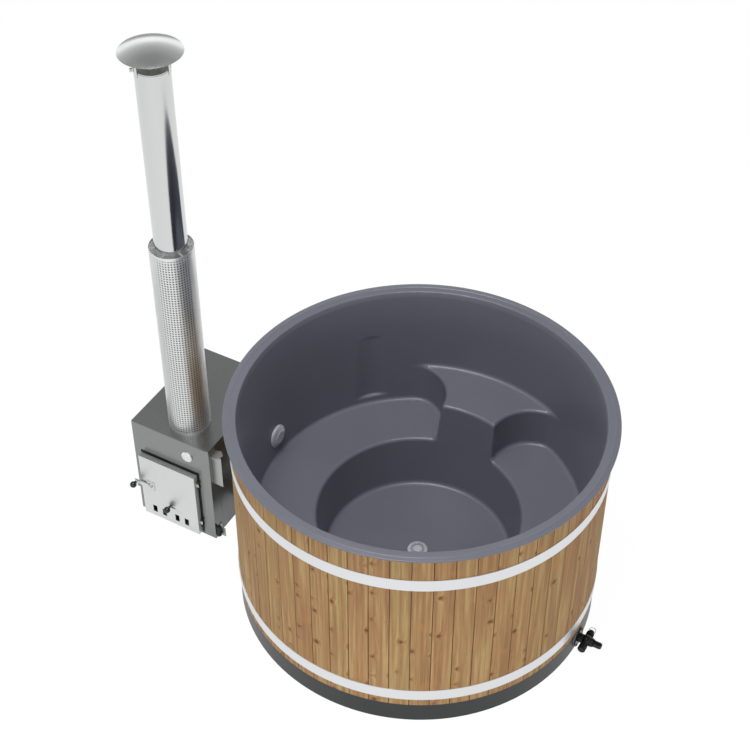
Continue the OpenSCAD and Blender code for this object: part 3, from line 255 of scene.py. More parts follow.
def sawn_wood(name, light, dark, grain):
    """Sawn softwood or plywood: plain boards with grain along one axis."""
    material, tree, shader, place = start(name, Roughness=0.8, IOR=1.45)
    along = add(tree, "ShaderNodeMapping", {"Vector": place, "Scale": grain})
    rings = add(tree, "ShaderNodeTexNoise", {"Vector": along, "Scale": 120.0, "Detail": 4.0})
    tone = add(tree, "ShaderNodeMix", {"Factor": rings, "A": rgb(dark), "B": rgb(light)}, data_type="RGBA")
    bump = add(tree, "ShaderNodeBump", {"Strength": 0.3, "Distance": 0.0005, "Height": rings})
    feed(tree, shader, {"Base Color": tone, "Normal": bump})
    return material


def steel(name, tone, rough, brush=UNBRUSHED, depth=0.05, grain=900.0, spun_sheen=0.0):
    """Steel sheet with a rolled or brushed finish: fine lines that break up its reflections, and
    on a spun sheet a sheen drawn out round the flue's axis."""
    material, tree, shader, place = start(name, Metallic=1.0, Anisotropic=spun_sheen)
    if spun_sheen:
        spoke = add(tree, "ShaderNodeVectorMath", {0: place, 1: FLUE_AXIS}, operation="SUBTRACT")
        groove = add(tree, "ShaderNodeVectorMath", {0: (0.0, 0.0, 1.0), 1: spoke}, operation="CROSS_PRODUCT")
        feed(tree, shader, {"Tangent": groove})
    lines = add(tree, "ShaderNodeMapping", {"Vector": place, "Scale": brush})
    brushed = add(tree, "ShaderNodeTexNoise", {"Vector": lines, "Scale": grain, "Detail": 2.0})
    cloud = add(tree, "ShaderNodeTexNoise", {"Vector": place, "Scale": 9.0, "Detail": 3.0})
    both = add(tree, "ShaderNodeMix", {"Factor": 0.35, "A": brushed, "B": cloud})
    smear = add(tree, "ShaderNodeMapRange", {"Value": both, "From Min": 0.3, "From Max": 0.7,
                                             "To Min": rough[0], "To Max": rough[1]})
    shade = add(tree, "ShaderNodeMix", {"Factor": brushed, "A": rgb(tone, 0.94), "B": rgb(tone)}, data_type="RGBA")
    bump = add(tree, "ShaderNodeBump", {"Strength": depth, "Distance": 0.0002, "Height": brushed})
    feed(tree, shader, {"Base Color": shade, "Roughness": smear, "Normal": bump})
    return material


def tinted_steel(looks):
    """Stainless pipe that the fire has tinted dark brown below, still bright at its top."""
    material, tree, shader, place = start("heat-tinted flue pipe", Metallic=1.0)
    height = add(tree, "ShaderNodeSeparateXYZ", {"Vector": place}).outputs["Z"]
    cloud = add(tree, "ShaderNodeTexNoise", {"Vector": place, "Scale": 8.0, "Detail": 3.0})
    edge = add(tree, "ShaderNodeMath", {0: cloud, 1: TINT_WAVE, 2: height}, operation="MULTIPLY_ADD")
    fresh = add(tree, "ShaderNodeMapRange", {"Value": edge, "From Min": SHIELD_HIGH.z + TINT_LOW,
                                             "From Max": SHIELD_HIGH.z + TINT_HIGH}, interpolation_type="SMOOTHSTEP")
    tone = add(tree, "ShaderNodeMix", {"Factor": fresh, "A": rgb("#4A4341"), "B": rgb(looks.stainless)},
               data_type="RGBA")
    dull = add(tree, "ShaderNodeMapRange", {"Value": cloud, "To Min": 0.22, "To Max": 0.4})
    feed(tree, shader, {"Base Color": tone, "Roughness": dull})
    return material


def flue_steel(looks):
    """Stainless flue pipe: bright and smooth outside; inside its top a pale dull coat of painted light, for the
    brightness seen down the pipe's mouth.
    """
    material = steel("stainless flue pipe", looks.stainless, FLUE_SHEEN, brush=BRUSH_UP, depth=0.03)
    tree = material.node_tree
    bright = next(n for n in tree.nodes if n.type == "BSDF_PRINCIPLED")
    out = next(n for n in tree.nodes if n.type == "OUTPUT_MATERIAL")
    place = add(tree, "ShaderNodeTexCoord").outputs["Object"]
    spoke = add(tree, "ShaderNodeVectorMath", {0: place, 1: FLUE_AXIS}, operation="SUBTRACT")
    level = add(tree, "ShaderNodeVectorMath", {0: spoke, 1: (1.0, 1.0, 0.0)}, operation="MULTIPLY")
    radius = add(tree, "ShaderNodeVectorMath", {0: level}, operation="LENGTH")
    within = add(tree, "ShaderNodeMath", {0: radius, 1: FLUE_INSIDE}, operation="LESS_THAN")
    # painted light: a near-white dull inside for the pipe's top, which its steel doesn't have
    painted_light_inside = add(tree, "ShaderNodeBsdfDiffuse", {"Color": rgb("#F4F3F0"), "Roughness": 0.3})
    feed(tree, out, {"Surface": add(tree, "ShaderNodeMixShader", {0: within, 1: bright, 2: painted_light_inside})})
    return material


def casing_paint(looks):
    """Metallic grey stove paint on steel sheet: dark body, smooth film with soft reflections."""
    material, tree, shader, place = start("metallic stove paint", Metallic=0.9)
    flake = add(tree, "ShaderNodeTexNoise", {"Vector": place, "Scale": 700.0, "Detail": 2.0})
    tone = add(tree, "ShaderNodeMix", {"Factor": flake, "A": rgb(looks.casing, 0.88), "B": rgb(looks.casing)},
               data_type="RGBA")
    cloud = add(tree, "ShaderNodeTexNoise", {"Vector": place, "Scale": 6.0, "Detail": 3.0})
    film = add(tree, "ShaderNodeMapRange", {"Value": cloud, "To Min": 0.2, "To Max": 0.29})
    bump = add(tree, "ShaderNodeBump", {"Strength": 0.06, "Distance": 0.0002, "Height": flake})
    feed(tree, shader, {"Base Color": tone, "Roughness": film, "Normal": bump})
    return material


def plastic(name, tone, rough, grain=500.0, depth=0.15, lighter=1.25, gloss=0.5):
    """Moulded plastic: even colour, fine texture of the mould that breaks up the sheen."""
    material, tree, shader, place = start(name, IOR=1.5, Specular_IOR_Level=gloss)
    texture = add(tree, "ShaderNodeTexNoise", {"Vector": place, "Scale": grain, "Detail": 3.0})
    cloud = add(tree, "ShaderNodeTexNoise", {"Vector": place, "Scale": 12.0, "Detail": 3.0})
    shade = add(tree, "ShaderNodeMix", {"Factor": cloud, "A": rgb(tone), "B": rgb(tone, lighter)}, data_type="RGBA")
    dull = add(tree, "ShaderNodeMapRange", {"Value": texture, "From Min": 0.3, "From Max": 0.7,
                                            "To Min": rough[0], "To Max": rough[1]})
    bump = add(tree, "ShaderNodeBump", {"Strength": depth, "Distance": 0.0003, "Height": texture})
    feed(tree, shader, {"Base Color": shade, "Roughness": dull, "Normal": bump})
    return material


def sooty_metal(name, tone, dust, rough=(0.6, 0.85), grain=180.0):
    """Cast iron or coated plate in the fire: dull dark metal with grey ash dust."""
    material, tree, shader, place = start(name, Metallic=0.35)
    cast = add(tree, "ShaderNodeTexNoise", {"Vector": place, "Scale": grain, "Detail": 5.0})
    cloud = add(tree, "ShaderNodeTexNoise", {"Vector": place, "Scale": 14.0, "Detail": 4.0})
    ash = add(tree, "ShaderNodeMapRange", {"Value": cloud, "From Min": 0.45, "From Max": 0.75})
    shade = add(tree, "ShaderNodeMix", {"Factor": ash, "A": rgb(tone), "B": rgb(dust)}, data_type="RGBA")
    dull = add(tree, "ShaderNodeMapRange", {"Value": cast, "To Min": rough[0], "To Max": rough[1]})
    bump = add(tree, "ShaderNodeBump", {"Strength": 0.4, "Distance": 0.0006, "Height": cast})
    feed(tree, shader, {"Base Color": shade, "Roughness": dull, "Normal": bump})
    return material


def rope_seal():
    """Glass-fibre rope, braided: dull grey with slanting strands about 8 mm apart."""
    material, tree, shader, place = start("glass-fibre rope seal", Roughness=0.95)
    braid = add(tree, "ShaderNodeTexWave", {"Vector": place, "Scale": 45.0, "Distortion": 2.0},
                wave_type="BANDS", bands_direction="DIAGONAL").outputs["Fac"]
    shade = add(tree, "ShaderNodeMix", {"Factor": braid, "A": rgb("#3A3A38"), "B": rgb("#6E6D69")}, data_type="RGBA")
    bump = add(tree, "ShaderNodeBump", {"Strength": 0.6, "Distance": 0.0015, "Height": braid})
    feed(tree, shader, {"Base Color": shade, "Normal": bump})
    return material


# ---------------------------------------------------------------- pieces

# points nearer than this are one, and the looser distance for folds and the rolled sheet
SAME, NEAR = 1e-6, 1e-5
# edges that turn by more than this are eased, and faces that turn by less are one
FOLD, FLAT = math.radians(50), math.radians(0.5)
# an outer upright edge of a stave rises by more than this and lies within this of the outside
EDGE_RISE, EDGE_DEPTH = 0.02, 0.002


def dress(material, *names):
    """Gives CAD nodes this one material."""
    for name in names:
        slots = NODES[name].data.materials
        slots.clear()
        slots.append(material)


def smooth(piece, degrees):
    """Smooth shading up to that angle."""
    mesh = piece.data
    mesh.polygons.foreach_set("use_smooth", [True] * len(mesh.polygons))
    made = bmesh.new()
    made.from_mesh(mesh)
    for edge in made.edges:
        if len(edge.link_faces) == 2 and edge.calc_face_angle(0.0) > math.radians(degrees):
            edge.smooth = False
    made.to_mesh(mesh)
    made.free()


def meshed(made, name):
    """A bmesh as a mesh of that name; the bmesh is freed."""
    mesh = bpy.data.meshes.new(name)
    made.to_mesh(mesh)
    made.free()
    return mesh


def placed(name, data):
    """A new object in the scene."""
    item = bpy.data.objects.new(name, data)
    bpy.context.scene.collection.objects.link(item)
    return item


def keep(made, name, material, body, replaced):
    """Turns a bmesh into a piece that rides on a body and stands for CAD nodes."""
    piece = placed(name, meshed(made, name))
    piece.data.materials.append(material)
    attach(piece, body)
    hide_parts(*replaced)
    return piece


def poured(made, part):
    """Adds one bmesh to another and frees it."""
    mesh = meshed(part, "part")
    made.from_mesh(mesh)
    bpy.data.meshes.remove(mesh)


def cut_above(made, z):
    """Takes off what stands above a height."""
    bmesh.ops.bisect_plane(made, geom=made.verts[:] + made.edges[:] + made.faces[:], plane_co=(0, 0, z),
                           plane_no=(0, 0, 1), clear_outer=True)


def eased(width, *names, segments=2):
    """Small folds and broken edges on CAD nodes, by modifiers."""
    for name in names:
        piece = NODES[name]
        weld = piece.modifiers.new("weld", "WELD")
        weld.merge_threshold = NEAR
        bevel = piece.modifiers.new("fold", "BEVEL")
        bevel.width = width
        bevel.segments = segments
        bevel.limit_method = "ANGLE"
        bevel.angle_limit = FOLD


# ---------------------------------------------------------------- liner

# thickness of the skin, then wall, footwell and heights of floor, bench and raised seat
SKIN = 0.006
WALL_R, WALL_DRAFT = RIM_R - 0.057, math.radians(4.0)
FLOOR_Z, WELL_R, WELL_DRAFT = LINER_LOW.z + SKIN, 0.401, math.radians(7.3)
BENCH_Z, SEAT_Z = 0.408, 0.598
# the scoops beside the raised seat: bearing from +Y, distance of their axes, radius at the bench
SCOOP_TURN, SCOOP_D, SCOOP_R, SCOOP_DRAFT = math.radians(35.7), 0.540, 0.178, math.radians(2.4)
# the niche in the wall, an upright cylinder that cuts into it, and its roundings
NICHE_TURN, NICHE_Z, NICHE_H, NICHE_R, NICHE_IN = math.radians(136.0), 0.450, 0.330, 0.13557, 0.014
NICHE_LEAN, NICHE_END_SOFT, NICHE_EDGE_SOFT = math.radians(1.9), 0.009, 0.008
# the rim's rolled inner edge, the fine bead along its middle and its outer nose
RIM_FLARE, RIM_ROLL = 0.0035, 0.006
BEAD_R, BEAD_W, BEAD_H = WALL_R + 0.035, 0.0036, 0.0021
NOSE_R, NOSE_DROP = 0.0035, 0.0044
# the rim's flat underside: its height, and how far it stays in from the nose and out from the skin
UNDER_Z, UNDER_IN, UNDER_OUT = RIM_Z - 0.007, 0.0006, 0.0005
# the skins are made of cells up to CUT_Z, and the rim's own profile goes on a little above
CUT_Z, CUT_GAP = 0.970, 0.008
CELL_INSIDE, CELL_OUTSIDE = 0.0088, 0.024
# rounds of evening out, steps on to the skin in each, and the least that a step divides by
ROUNDS, STEPS, LEAST = 4, 4, 0.2
# rough blocks of the water: top of the open one and what is trimmed from it, top of the lower ones,
# inner radius of the bench's, and distance of its scoops, which the field then moves out to SCOOP_D
OPEN_Z, TRIM, BLOCK_Z, BENCH_IN, ROUGH_SCOOP_D = 1.06, 0.03, 0.62, 0.30, 0.523


def wall_r(z):
    return WALL_R - (RIM_Z - z) * math.tan(WALL_DRAFT)


def well_r(z):
    return WELL_R + (z - FLOOR_Z) * math.tan(WELL_DRAFT)


def scoop_r(z):
    return SCOOP_R + (z - BENCH_Z) * math.tan(SCOOP_DRAFT)


def joined(radius, *fields):
    """Union of distance fields with a rounding of that radius."""
    a = np.stack(fields)
    return np.maximum(radius, a.min(0)) - np.sqrt((np.maximum(radius - a, 0.0) ** 2).sum(0))


def shared(radius, *fields):
    """Intersection of distance fields with a rounding of that radius."""
    a = np.stack(fields)
    return np.minimum(-radius, a.max(0)) + np.sqrt((np.maximum(radius + a, 0.0) ** 2).sum(0))


def skin_field(p, edge, corner):
    """Distance of points from the liner's inner skin, below zero in the water."""
    x, y, z = p[:, 0], p[:, 1], p[:, 2]
    r = np.hypot(x, y)
    wall = (r - wall_r(z)) * math.cos(WALL_DRAFT)
    well = (r - well_r(z)) * math.cos(WELL_DRAFT)
    bearing = np.arctan2(x, y)
    side = r * np.sin(SCOOP_TURN - np.abs(bearing))
    scoops = [np.hypot(x - s * SCOOP_D * math.sin(SCOOP_TURN), y - SCOOP_D * math.cos(SCOOP_TURN)) - scoop_r(z)
              for s in (-1, 1)]
    seat = joined(edge, SEAT_Z - z, side, *scoops)
    upper = shared(corner, BENCH_Z - z, seat)
    body = joined(edge, well, upper)
    out = x * math.cos(NICHE_TURN) + y * math.sin(NICHE_TURN) - (wall_r(NICHE_Z) + NICHE_IN - NICHE_R)
    across = y * math.cos(NICHE_TURN) - x * math.sin(NICHE_TURN)
    up = z - NICHE_Z
    along = out * math.cos(NICHE_LEAN) - up * math.sin(NICHE_LEAN)
    rise = out * math.sin(NICHE_LEAN) + up * math.cos(NICHE_LEAN)
    niche = shared(NICHE_END_SOFT, np.hypot(along, across) - NICHE_R, -rise, rise - NICHE_H)
    return shared(corner, joined(NICHE_EDGE_SOFT, wall, niche), FLOOR_Z - z, body)


def skin_slope(p, edge, corner, step=2e-4):
    """Gradient of the skin field."""
    slope = np.empty_like(p)
    for axis in range(3):
        off = np.zeros(3)
        off[axis] = step
        slope[:, axis] = (skin_field(p + off, edge, corner) - skin_field(p - off, edge, corner)) / (2 * step)
    return slope


def spun(profile, turn=2 * math.pi, first=0.0, steps=120):
    """A closed body spun from a profile of (radius, height) points, all round or with two end faces."""
    made = bmesh.new()
    verts = [made.verts.new((r * math.cos(first), r * math.sin(first), z)) for r, z in profile]
    outline = verts + [made.edges.new((verts[i], verts[(i + 1) % len(verts)])) for i in range(len(verts))]
    full = turn == 2 * math.pi
    if not full:
        outline.append(made.faces.new(verts))
    bmesh.ops.spin(made, geom=outline, cent=(0, 0, 0), axis=(0, 0, 1), angle=turn, steps=steps, use_merge=full)
    bmesh.ops.remove_doubles(made, verts=made.verts, dist=SAME)
    return made


def zipped(made, *rings):
    """Closes the gap between two level rings whose vertices differ in number."""
    low, high = [sorted(((math.atan2(v.co.y, v.co.x), v) for v in ring), key=lambda item: item[0])
                 for ring in rings]
    low, high = [ring + [(ring[0][0] + 2 * math.pi, ring[0][1])] for ring in (low, high)]
    i = j = 0
    while i < len(low) - 1 or j < len(high) - 1:
        from_low = j == len(high) - 1 or (i < len(low) - 1 and low[i + 1][0] < high[j + 1][0])
        ahead = low[i + 1][1] if from_low else high[j + 1][1]
        made.faces.new((low[i][1], high[j][1], ahead))
        i, j = (i + 1, j) if from_low else (i, j + 1)


def rough_water():
    """The bath's inside as overlapping plain blocks: open water, footwell, bench ring, scoops and niche."""
    made = bmesh.new()
    for profile in (((0.0, SEAT_Z), (wall_r(SEAT_Z), SEAT_Z), (wall_r(OPEN_Z), OPEN_Z), (0.0, OPEN_Z)),
                    ((0.0, FLOOR_Z), (WELL_R, FLOOR_Z), (well_r(BLOCK_Z), BLOCK_Z), (0.0, BLOCK_Z))):
        part = spun(profile)
        bmesh.ops.recalc_face_normals(part, faces=part.faces)
        poured(made, part)
    part = spun(((BENCH_IN, BENCH_Z), (wall_r(BENCH_Z), BENCH_Z), (wall_r(BLOCK_Z), BLOCK_Z), (BENCH_IN, BLOCK_Z)),
                turn=2 * math.pi - 2 * SCOOP_TURN, first=math.pi / 2 + SCOOP_TURN, steps=96)
    for s in (-1, 1):
        middle = Matrix.Translation((s * ROUGH_SCOOP_D * math.sin(SCOOP_TURN), ROUGH_SCOOP_D * math.cos(SCOOP_TURN),
                                     (BENCH_Z + BLOCK_Z) / 2))
        bmesh.ops.create_cone(part, cap_ends=True, segments=64, radius1=SCOOP_R, radius2=scoop_r(BLOCK_Z),
                              depth=BLOCK_Z - BENCH_Z, matrix=middle)
    lean = (Matrix.Rotation(NICHE_TURN, 4, "Z")
            @ Matrix.Translation((wall_r(NICHE_Z) + NICHE_IN - NICHE_R, 0, NICHE_Z))
            @ Matrix.Rotation(NICHE_LEAN, 4, "Y") @ Matrix.Translation((0, 0, NICHE_H / 2)))
    bmesh.ops.create_cone(part, cap_ends=True, segments=64, radius1=NICHE_R, radius2=NICHE_R, depth=NICHE_H,
                          matrix=lean)
    bmesh.ops.recalc_face_normals(part, faces=part.faces)
    poured(made, part)
    return made


def water_body(cell, offset, edge, corner):
    """The bath's inside as even cells of that size, laid on the skin at an offset."""
    rough = meshed(rough_water(), "water")
    block = placed("water", rough)
    cells = block.modifiers.new("cells", "REMESH")
    cells.mode = "VOXEL"
    cells.voxel_size = cell
    graph = bpy.context.evaluated_depsgraph_get()
    even = bpy.data.meshes.new_from_object(block.evaluated_get(graph))
    bpy.data.objects.remove(block)
    bpy.data.meshes.remove(rough)
    made = bmesh.new()
    made.from_mesh(even)
    bpy.data.meshes.remove(even)
    cut_above(made, OPEN_Z - TRIM)
    # the cells are laid on the skin, and then evened out and laid on it again, round by round
    for evened in range(ROUNDS + 1):
        if evened:
            bmesh.ops.smooth_vert(made, verts=made.verts, factor=0.5, use_axis_x=True, use_axis_y=True,
                                  use_axis_z=True)
        p = np.array([v.co[:] for v in made.verts])
        for _ in range(STEPS):
            f = skin_field(p, edge, corner) - offset
            g = skin_slope(p, edge, corner)
            p -= g * (f / np.maximum((g ** 2).sum(1), LEAST))[:, None]
        for v, co in zip(made.verts, p):
            v.co = co
    cut_above(made, CUT_Z)
    return made


def rim_body():
    """The rim: rolled inner edge, flat, a fine bead, a falling outer strip and its turned-down nose."""
    flat_z, start_z = RIM_Z - BEAD_H, CUT_Z + CUT_GAP
    roll = [(WALL_R + RIM_FLARE + RIM_ROLL * (1 - math.cos(a)), flat_z - RIM_ROLL * (1 - math.sin(a)))
            for a in (math.radians(d) for d in (4, 18, 34, 50, 66, 80, 90))]
    bead = [(BEAD_R + BEAD_W * d, flat_z + BEAD_H * (0.5 + 0.5 * math.cos(math.pi * d)))
            for d in (-1.0, -0.7, -0.4, -0.15, 0.15, 0.4, 0.7, 1.0)]
    nose = [(RIM_R - NOSE_R + NOSE_R * math.sin(a), RIM_Z - NOSE_DROP + NOSE_R * math.cos(a))
            for a in (math.radians(d) for d in (8, 30, 50, 70, 90))]
    under = [(RIM_R - UNDER_IN, UNDER_Z), (WALL_R + SKIN + UNDER_OUT, UNDER_Z)]
    profile = [(wall_r(start_z), start_z)] + roll + bead + nose + under + [(wall_r(start_z) + SKIN, start_z)]
    rim = bmesh.new()
    verts = [rim.verts.new((r, 0, z)) for r, z in profile]
    edges = [rim.edges.new(pair) for pair in zip(verts, verts[1:])]
    bmesh.ops.spin(rim, geom=verts + edges, cent=(0, 0, 0), axis=(0, 0, 1), angle=2 * math.pi, steps=360,
                   use_merge=True)
    bmesh.ops.remove_doubles(rim, verts=rim.verts, dist=SAME)
    return rim


def liner_body(edge, corner):
    """The whole liner: inner skin, outer skin and rim, zipped together at their open ends."""
    made = water_body(CELL_INSIDE, 0.0, edge, corner)
    bmesh.ops.reverse_faces(made, faces=made.faces)
    poured(made, water_body(CELL_OUTSIDE, SKIN, edge, corner))
    poured(made, rim_body())
    open_edges = [e for e in made.edges if e.is_boundary]
    middle = wall_r(CUT_Z) + SKIN / 2
    level = CUT_Z + CUT_GAP / 2
    for inner in (True, False):
        ends = {v for e in open_edges for v in e.verts if (v.co.xy.length < middle) == inner}
        zipped(made, [v for v in ends if v.co.z < level], [v for v in ends if v.co.z > level])
    bmesh.ops.recalc_face_normals(made, faces=made.faces)
    return made


def skin_normals(mesh, edge, corner):
    """Shades the liner by the field's own slope below the rim, so that no cell shows."""
    p = np.empty(len(mesh.vertices) * 3)
    mesh.vertices.foreach_get("co", p)
    p = p.reshape(-1, 3)
    slope = skin_slope(p, edge, corner)
    slope /= np.maximum(np.linalg.norm(slope, axis=1), 1e-9)[:, None]
    # the inner skin faces the water, the outer one away from it; zero leaves the rim as it is
    ahead = np.where(skin_field(p, edge, corner) < SKIN / 2, -1.0, 1.0)
    ahead[p[:, 2] > CUT_Z + 1e-4] = 0.0
    mesh.normals_split_custom_set_from_vertices((slope * ahead[:, None]).tolist())


# ---------------------------------------------------------------- heat shield

# sheet thickness and the plain strip at each end
SHIELD_T, STRIP = 0.0015, 0.0103
# a bevelled grid point is a diamond of twice its radius squared, and every other face is larger
DIAMOND = 2.2


def spot(co):
    """A place on the flat sheet as a key."""
    return round(co.x, 5), round(co.z, 5)


def perforated_tube(columns, rows, hole):
    """A rolled sheet with rows of round holes: each odd point of a grid opens to an octagon."""
    radius = (SHIELD_HIGH.x - SHIELD_LOW.x) / 2
    wide, tall = 2 * math.pi / columns, (SHIELD_HIGH.z - SHIELD_LOW.z - 2 * STRIP) / rows
    made = bmesh.new()
    bmesh.ops.create_grid(made, x_segments=2 * columns, y_segments=2 * rows, size=0.5)
    for v in made.verts:
        v.co = (round((v.co.x + 0.5) * 2 * columns), 0.0, round((v.co.y + 0.5) * 2 * rows))
    middles = [v for v in made.verts if int(v.co.x) % 2 and int(v.co.z) % 2]
    for v in made.verts:
        v.co = (v.co.x * wide * radius / 2, 0.0, v.co.z * tall / 2)
    bmesh.ops.bevel(made, geom=middles, offset=hole, offset_type="OFFSET", segments=1, profile=0.5,
                    affect="VERTICES", material=-1)
    holes = [f for f in made.faces if len(f.verts) == 4 and f.calc_area() < DIAMOND * hole * hole]
    rims, centres = [], {}
    for f in holes:
        for e in f.edges:
            centres[spot((e.verts[0].co + e.verts[1].co) / 2)] = f.calc_center_median()
            rims.append(e)
    bmesh.ops.delete(made, geom=holes, context="FACES_ONLY")
    cut = bmesh.ops.subdivide_edges(made, edges=rims, cuts=1)
    for v in {item for item in cut["geom_inner"] if isinstance(item, bmesh.types.BMVert)}:
        middle = centres[spot(v.co)]
        v.co = middle + (v.co - middle).normalized() * hole
    for sign, edge_z in ((-1, 0.0), (1, rows * tall)):
        end = [e for e in made.edges if e.is_boundary and all(abs(v.co.z - edge_z) < SAME for v in e.verts)]
        grown = bmesh.ops.extrude_edge_only(made, edges=end)
        moved = [item for item in grown["geom"] if isinstance(item, bmesh.types.BMVert)]
        bmesh.ops.translate(made, verts=moved, vec=(0, 0, sign * STRIP))
    for v in made.verts:
        a = v.co.x / radius
        v.co = (FLUE_X + radius * math.cos(a), FLUE_Y + radius * math.sin(a), SHIELD_LOW.z + STRIP + v.co.z)
    bmesh.ops.remove_doubles(made, verts=made.verts, dist=NEAR)
    bmesh.ops.recalc_face_normals(made, faces=made.faces)
    side = next(iter(made.faces))
    away = side.calc_center_median() - Vector(FLUE_AXIS)
    if side.normal.dot(Vector((away.x, away.y, 0))) < 0:
        bmesh.ops.reverse_faces(made, faces=made.faces)
    bmesh.ops.solidify(made, geom=made.faces[:], thickness=SHIELD_T)
    return made


# ---------------------------------------------------------------- studio

# lamps: name, place, aim, size in metres, watts
LAMPS = (("overhead softbox", (-0.2, -1.3, 6.0), (0.0, 0.0, 0.6), (2.9, 2.9), 240.0),
         ("low front fill", (2.2, -7.8, 1.1), (0.0, 0.0, 0.5), (6.0, 1.8), 145.0),
         ("low side fill", (7.2, -1.6, 1.1), (0.0, 0.0, 0.5), (4.0, 1.8), 45.0))
# grey of the surroundings by the sine of the height above the horizon, and its strength for
# reflections and for diffuse light
SKY = ((0.0, 0.30), (0.07, 0.60), (0.16, 1.0), (0.32, 0.95), (0.48, 0.50), (0.66, 0.35), (0.84, 0.24), (1.0, 0.20))
SKY_MIRRORED, SKY_DIFFUSE = 1.35, 0.34
# half the floor's side, its drop below the plinth, the camera's share of even white and how white
FLOOR_HALF, FLOOR_DROP, FLOOR_EVEN, FLOOR_GLOW = 40.0, 0.0005, 0.95, 1.03
# the gap between tub and heater
GAP_AT = (-0.86, 0.05, 0.0)
# the photograph's viewpoint in metres, its lens and sensor in mm, its angles in degrees
CAMERA_AT, LENS, SENSOR = (2.0821, -4.0828, 5.4066), 76.67, 36.0
BEARING, FALL, ROLL = 119.34, -42.645, -0.098
WHITE = (1.0, 1.0, 1.0, 1.0)


def floor_paper():
    """White paper that the camera sees nearly without shadows; reflections see a pool of light on it
    that fades out from 5 to 11 m, darker in the shadow between tub and heater."""
    paper = bpy.data.materials.new("white studio floor")
    tree = blank(paper)
    ray = add(tree, "ShaderNodeLightPath").outputs
    place = add(tree, "ShaderNodeTexCoord").outputs["Object"]
    reach = add(tree, "ShaderNodeVectorMath", {0: place}, operation="LENGTH")
    pool = add(tree, "ShaderNodeMapRange", {"Value": reach, "From Min": 5.0, "From Max": 11.0,
                                            "To Min": 0.8, "To Max": 0.25}, interpolation_type="SMOOTHSTEP")
    away = add(tree, "ShaderNodeVectorMath", {0: place, 1: GAP_AT}, operation="DISTANCE")
    gap = add(tree, "ShaderNodeMapRange", {"Value": away, "From Min": 0.20, "From Max": 0.55,
                                           "To Min": 0.35, "To Max": 1.0}, interpolation_type="SMOOTHSTEP")
    lit = add(tree, "ShaderNodeMath", {0: pool, 1: gap}, operation="MULTIPLY")
    mirror = add(tree, "ShaderNodeMath", {0: ray["Is Glossy Ray"], 1: ray["Is Transmission Ray"]}, operation="MAXIMUM")
    mirrored = add(tree, "ShaderNodeMath", {0: mirror, 1: lit}, operation="MULTIPLY")
    plain = add(tree, "ShaderNodeMath", {0: ray["Is Camera Ray"], 1: FLOOR_EVEN}, operation="MULTIPLY")
    share = add(tree, "ShaderNodeMath", {0: mirrored, 1: plain}, operation="MAXIMUM")
    dull = add(tree, "ShaderNodeBsdfDiffuse", {"Color": rgb("#F2F2F2")})
    glow = add(tree, "ShaderNodeEmission", {"Color": WHITE, "Strength": FLOOR_GLOW})
    both = add(tree, "ShaderNodeMixShader", {0: share, 1: dull, 2: glow})
    add(tree, "ShaderNodeOutputMaterial", {"Surface": both})
    return paper


def studio_world():
    """White to the camera, a graded grey to reflections and a fainter one to diffuse light."""
    world = bpy.data.worlds.new("studio")
    tree = blank(world)
    way = add(tree, "ShaderNodeTexCoord").outputs["Generated"]
    height = add(tree, "ShaderNodeSeparateXYZ", {"Vector": way}).outputs["Z"]
    greys = add(tree, "ShaderNodeValToRGB", {"Fac": height})
    greys.color_ramp.interpolation = "EASE"
    stops = greys.color_ramp.elements
    stops.remove(stops[-1])
    for i, (at, grey) in enumerate(SKY):
        stop = stops.new(at) if i else stops[0]
        stop.position, stop.color = at, (grey, grey, grey, 1.0)
    ray = add(tree, "ShaderNodeLightPath").outputs
    strength = add(tree, "ShaderNodeMapRange", {"Value": ray["Is Diffuse Ray"], "To Min": SKY_MIRRORED,
                                                "To Max": SKY_DIFFUSE})
    sky = add(tree, "ShaderNodeBackground", {"Color": greys, "Strength": strength})
    clear = add(tree, "ShaderNodeBackground", {"Color": WHITE, "Strength": 1.0})
    both = add(tree, "ShaderNodeMixShader", {0: ray["Is Camera Ray"], 1: sky, 2: clear})
    add(tree, "ShaderNodeOutputWorld", {"Surface": both})
    return world


# ---------------------------------------------------------------- operators

class TUB_OT_stage(bpy.types.Operator):
    """White studio floor, soft lights and the camera"""
    bl_idname = "hottub.stage"
    bl_label = "Stage and camera"

    def execute(self, context):
        scene = context.scene
        made = bmesh.new()
        bmesh.ops.create_grid(made, x_segments=1, y_segments=1, size=FLOOR_HALF)
        bmesh.ops.translate(made, verts=made.verts, vec=(0, 0, -FLOOR_DROP))
        floor = placed("studio_floor", meshed(made, "studio_floor"))
        floor.data.materials.append(floor_paper())
        scene.world = studio_world()

        for name, at, aim, size, power in LAMPS:
            lamp = bpy.data.lights.new(name, "AREA")
            lamp.shape = "RECTANGLE"
            lamp.size, lamp.size_y = size
            lamp.energy = power
            holder = placed(name, lamp)
            holder.location = at
            holder.rotation_euler = (Vector(aim) - Vector(at)).to_track_quat("-Z", "Y").to_euler()

        bearing, fall, roll = math.radians(BEARING), math.radians(FALL), math.radians(ROLL)
        ahead = Vector((math.cos(fall) * math.cos(bearing), math.cos(fall) * math.sin(bearing), math.sin(fall)))
        right = ahead.cross(Vector((0, 0, 1))).normalized()
        up = right.cross(ahead)
        turn = Matrix.Rotation(roll, 3, ahead)
        right, up = turn @ right, turn @ up
        lens = bpy.data.cameras.new("photo camera")
        lens.lens = LENS
        lens.sensor_width = SENSOR
        lens.clip_end = 100.0
        camera = placed("photo camera", lens)
        camera.matrix_world = Matrix.Translation(CAMERA_AT) @ Matrix((right, up, -ahead)).transposed().to_4x4()
        scene.camera = camera
        scene.view_settings.view_transform = "Standard"
        return {"FINISHED"}


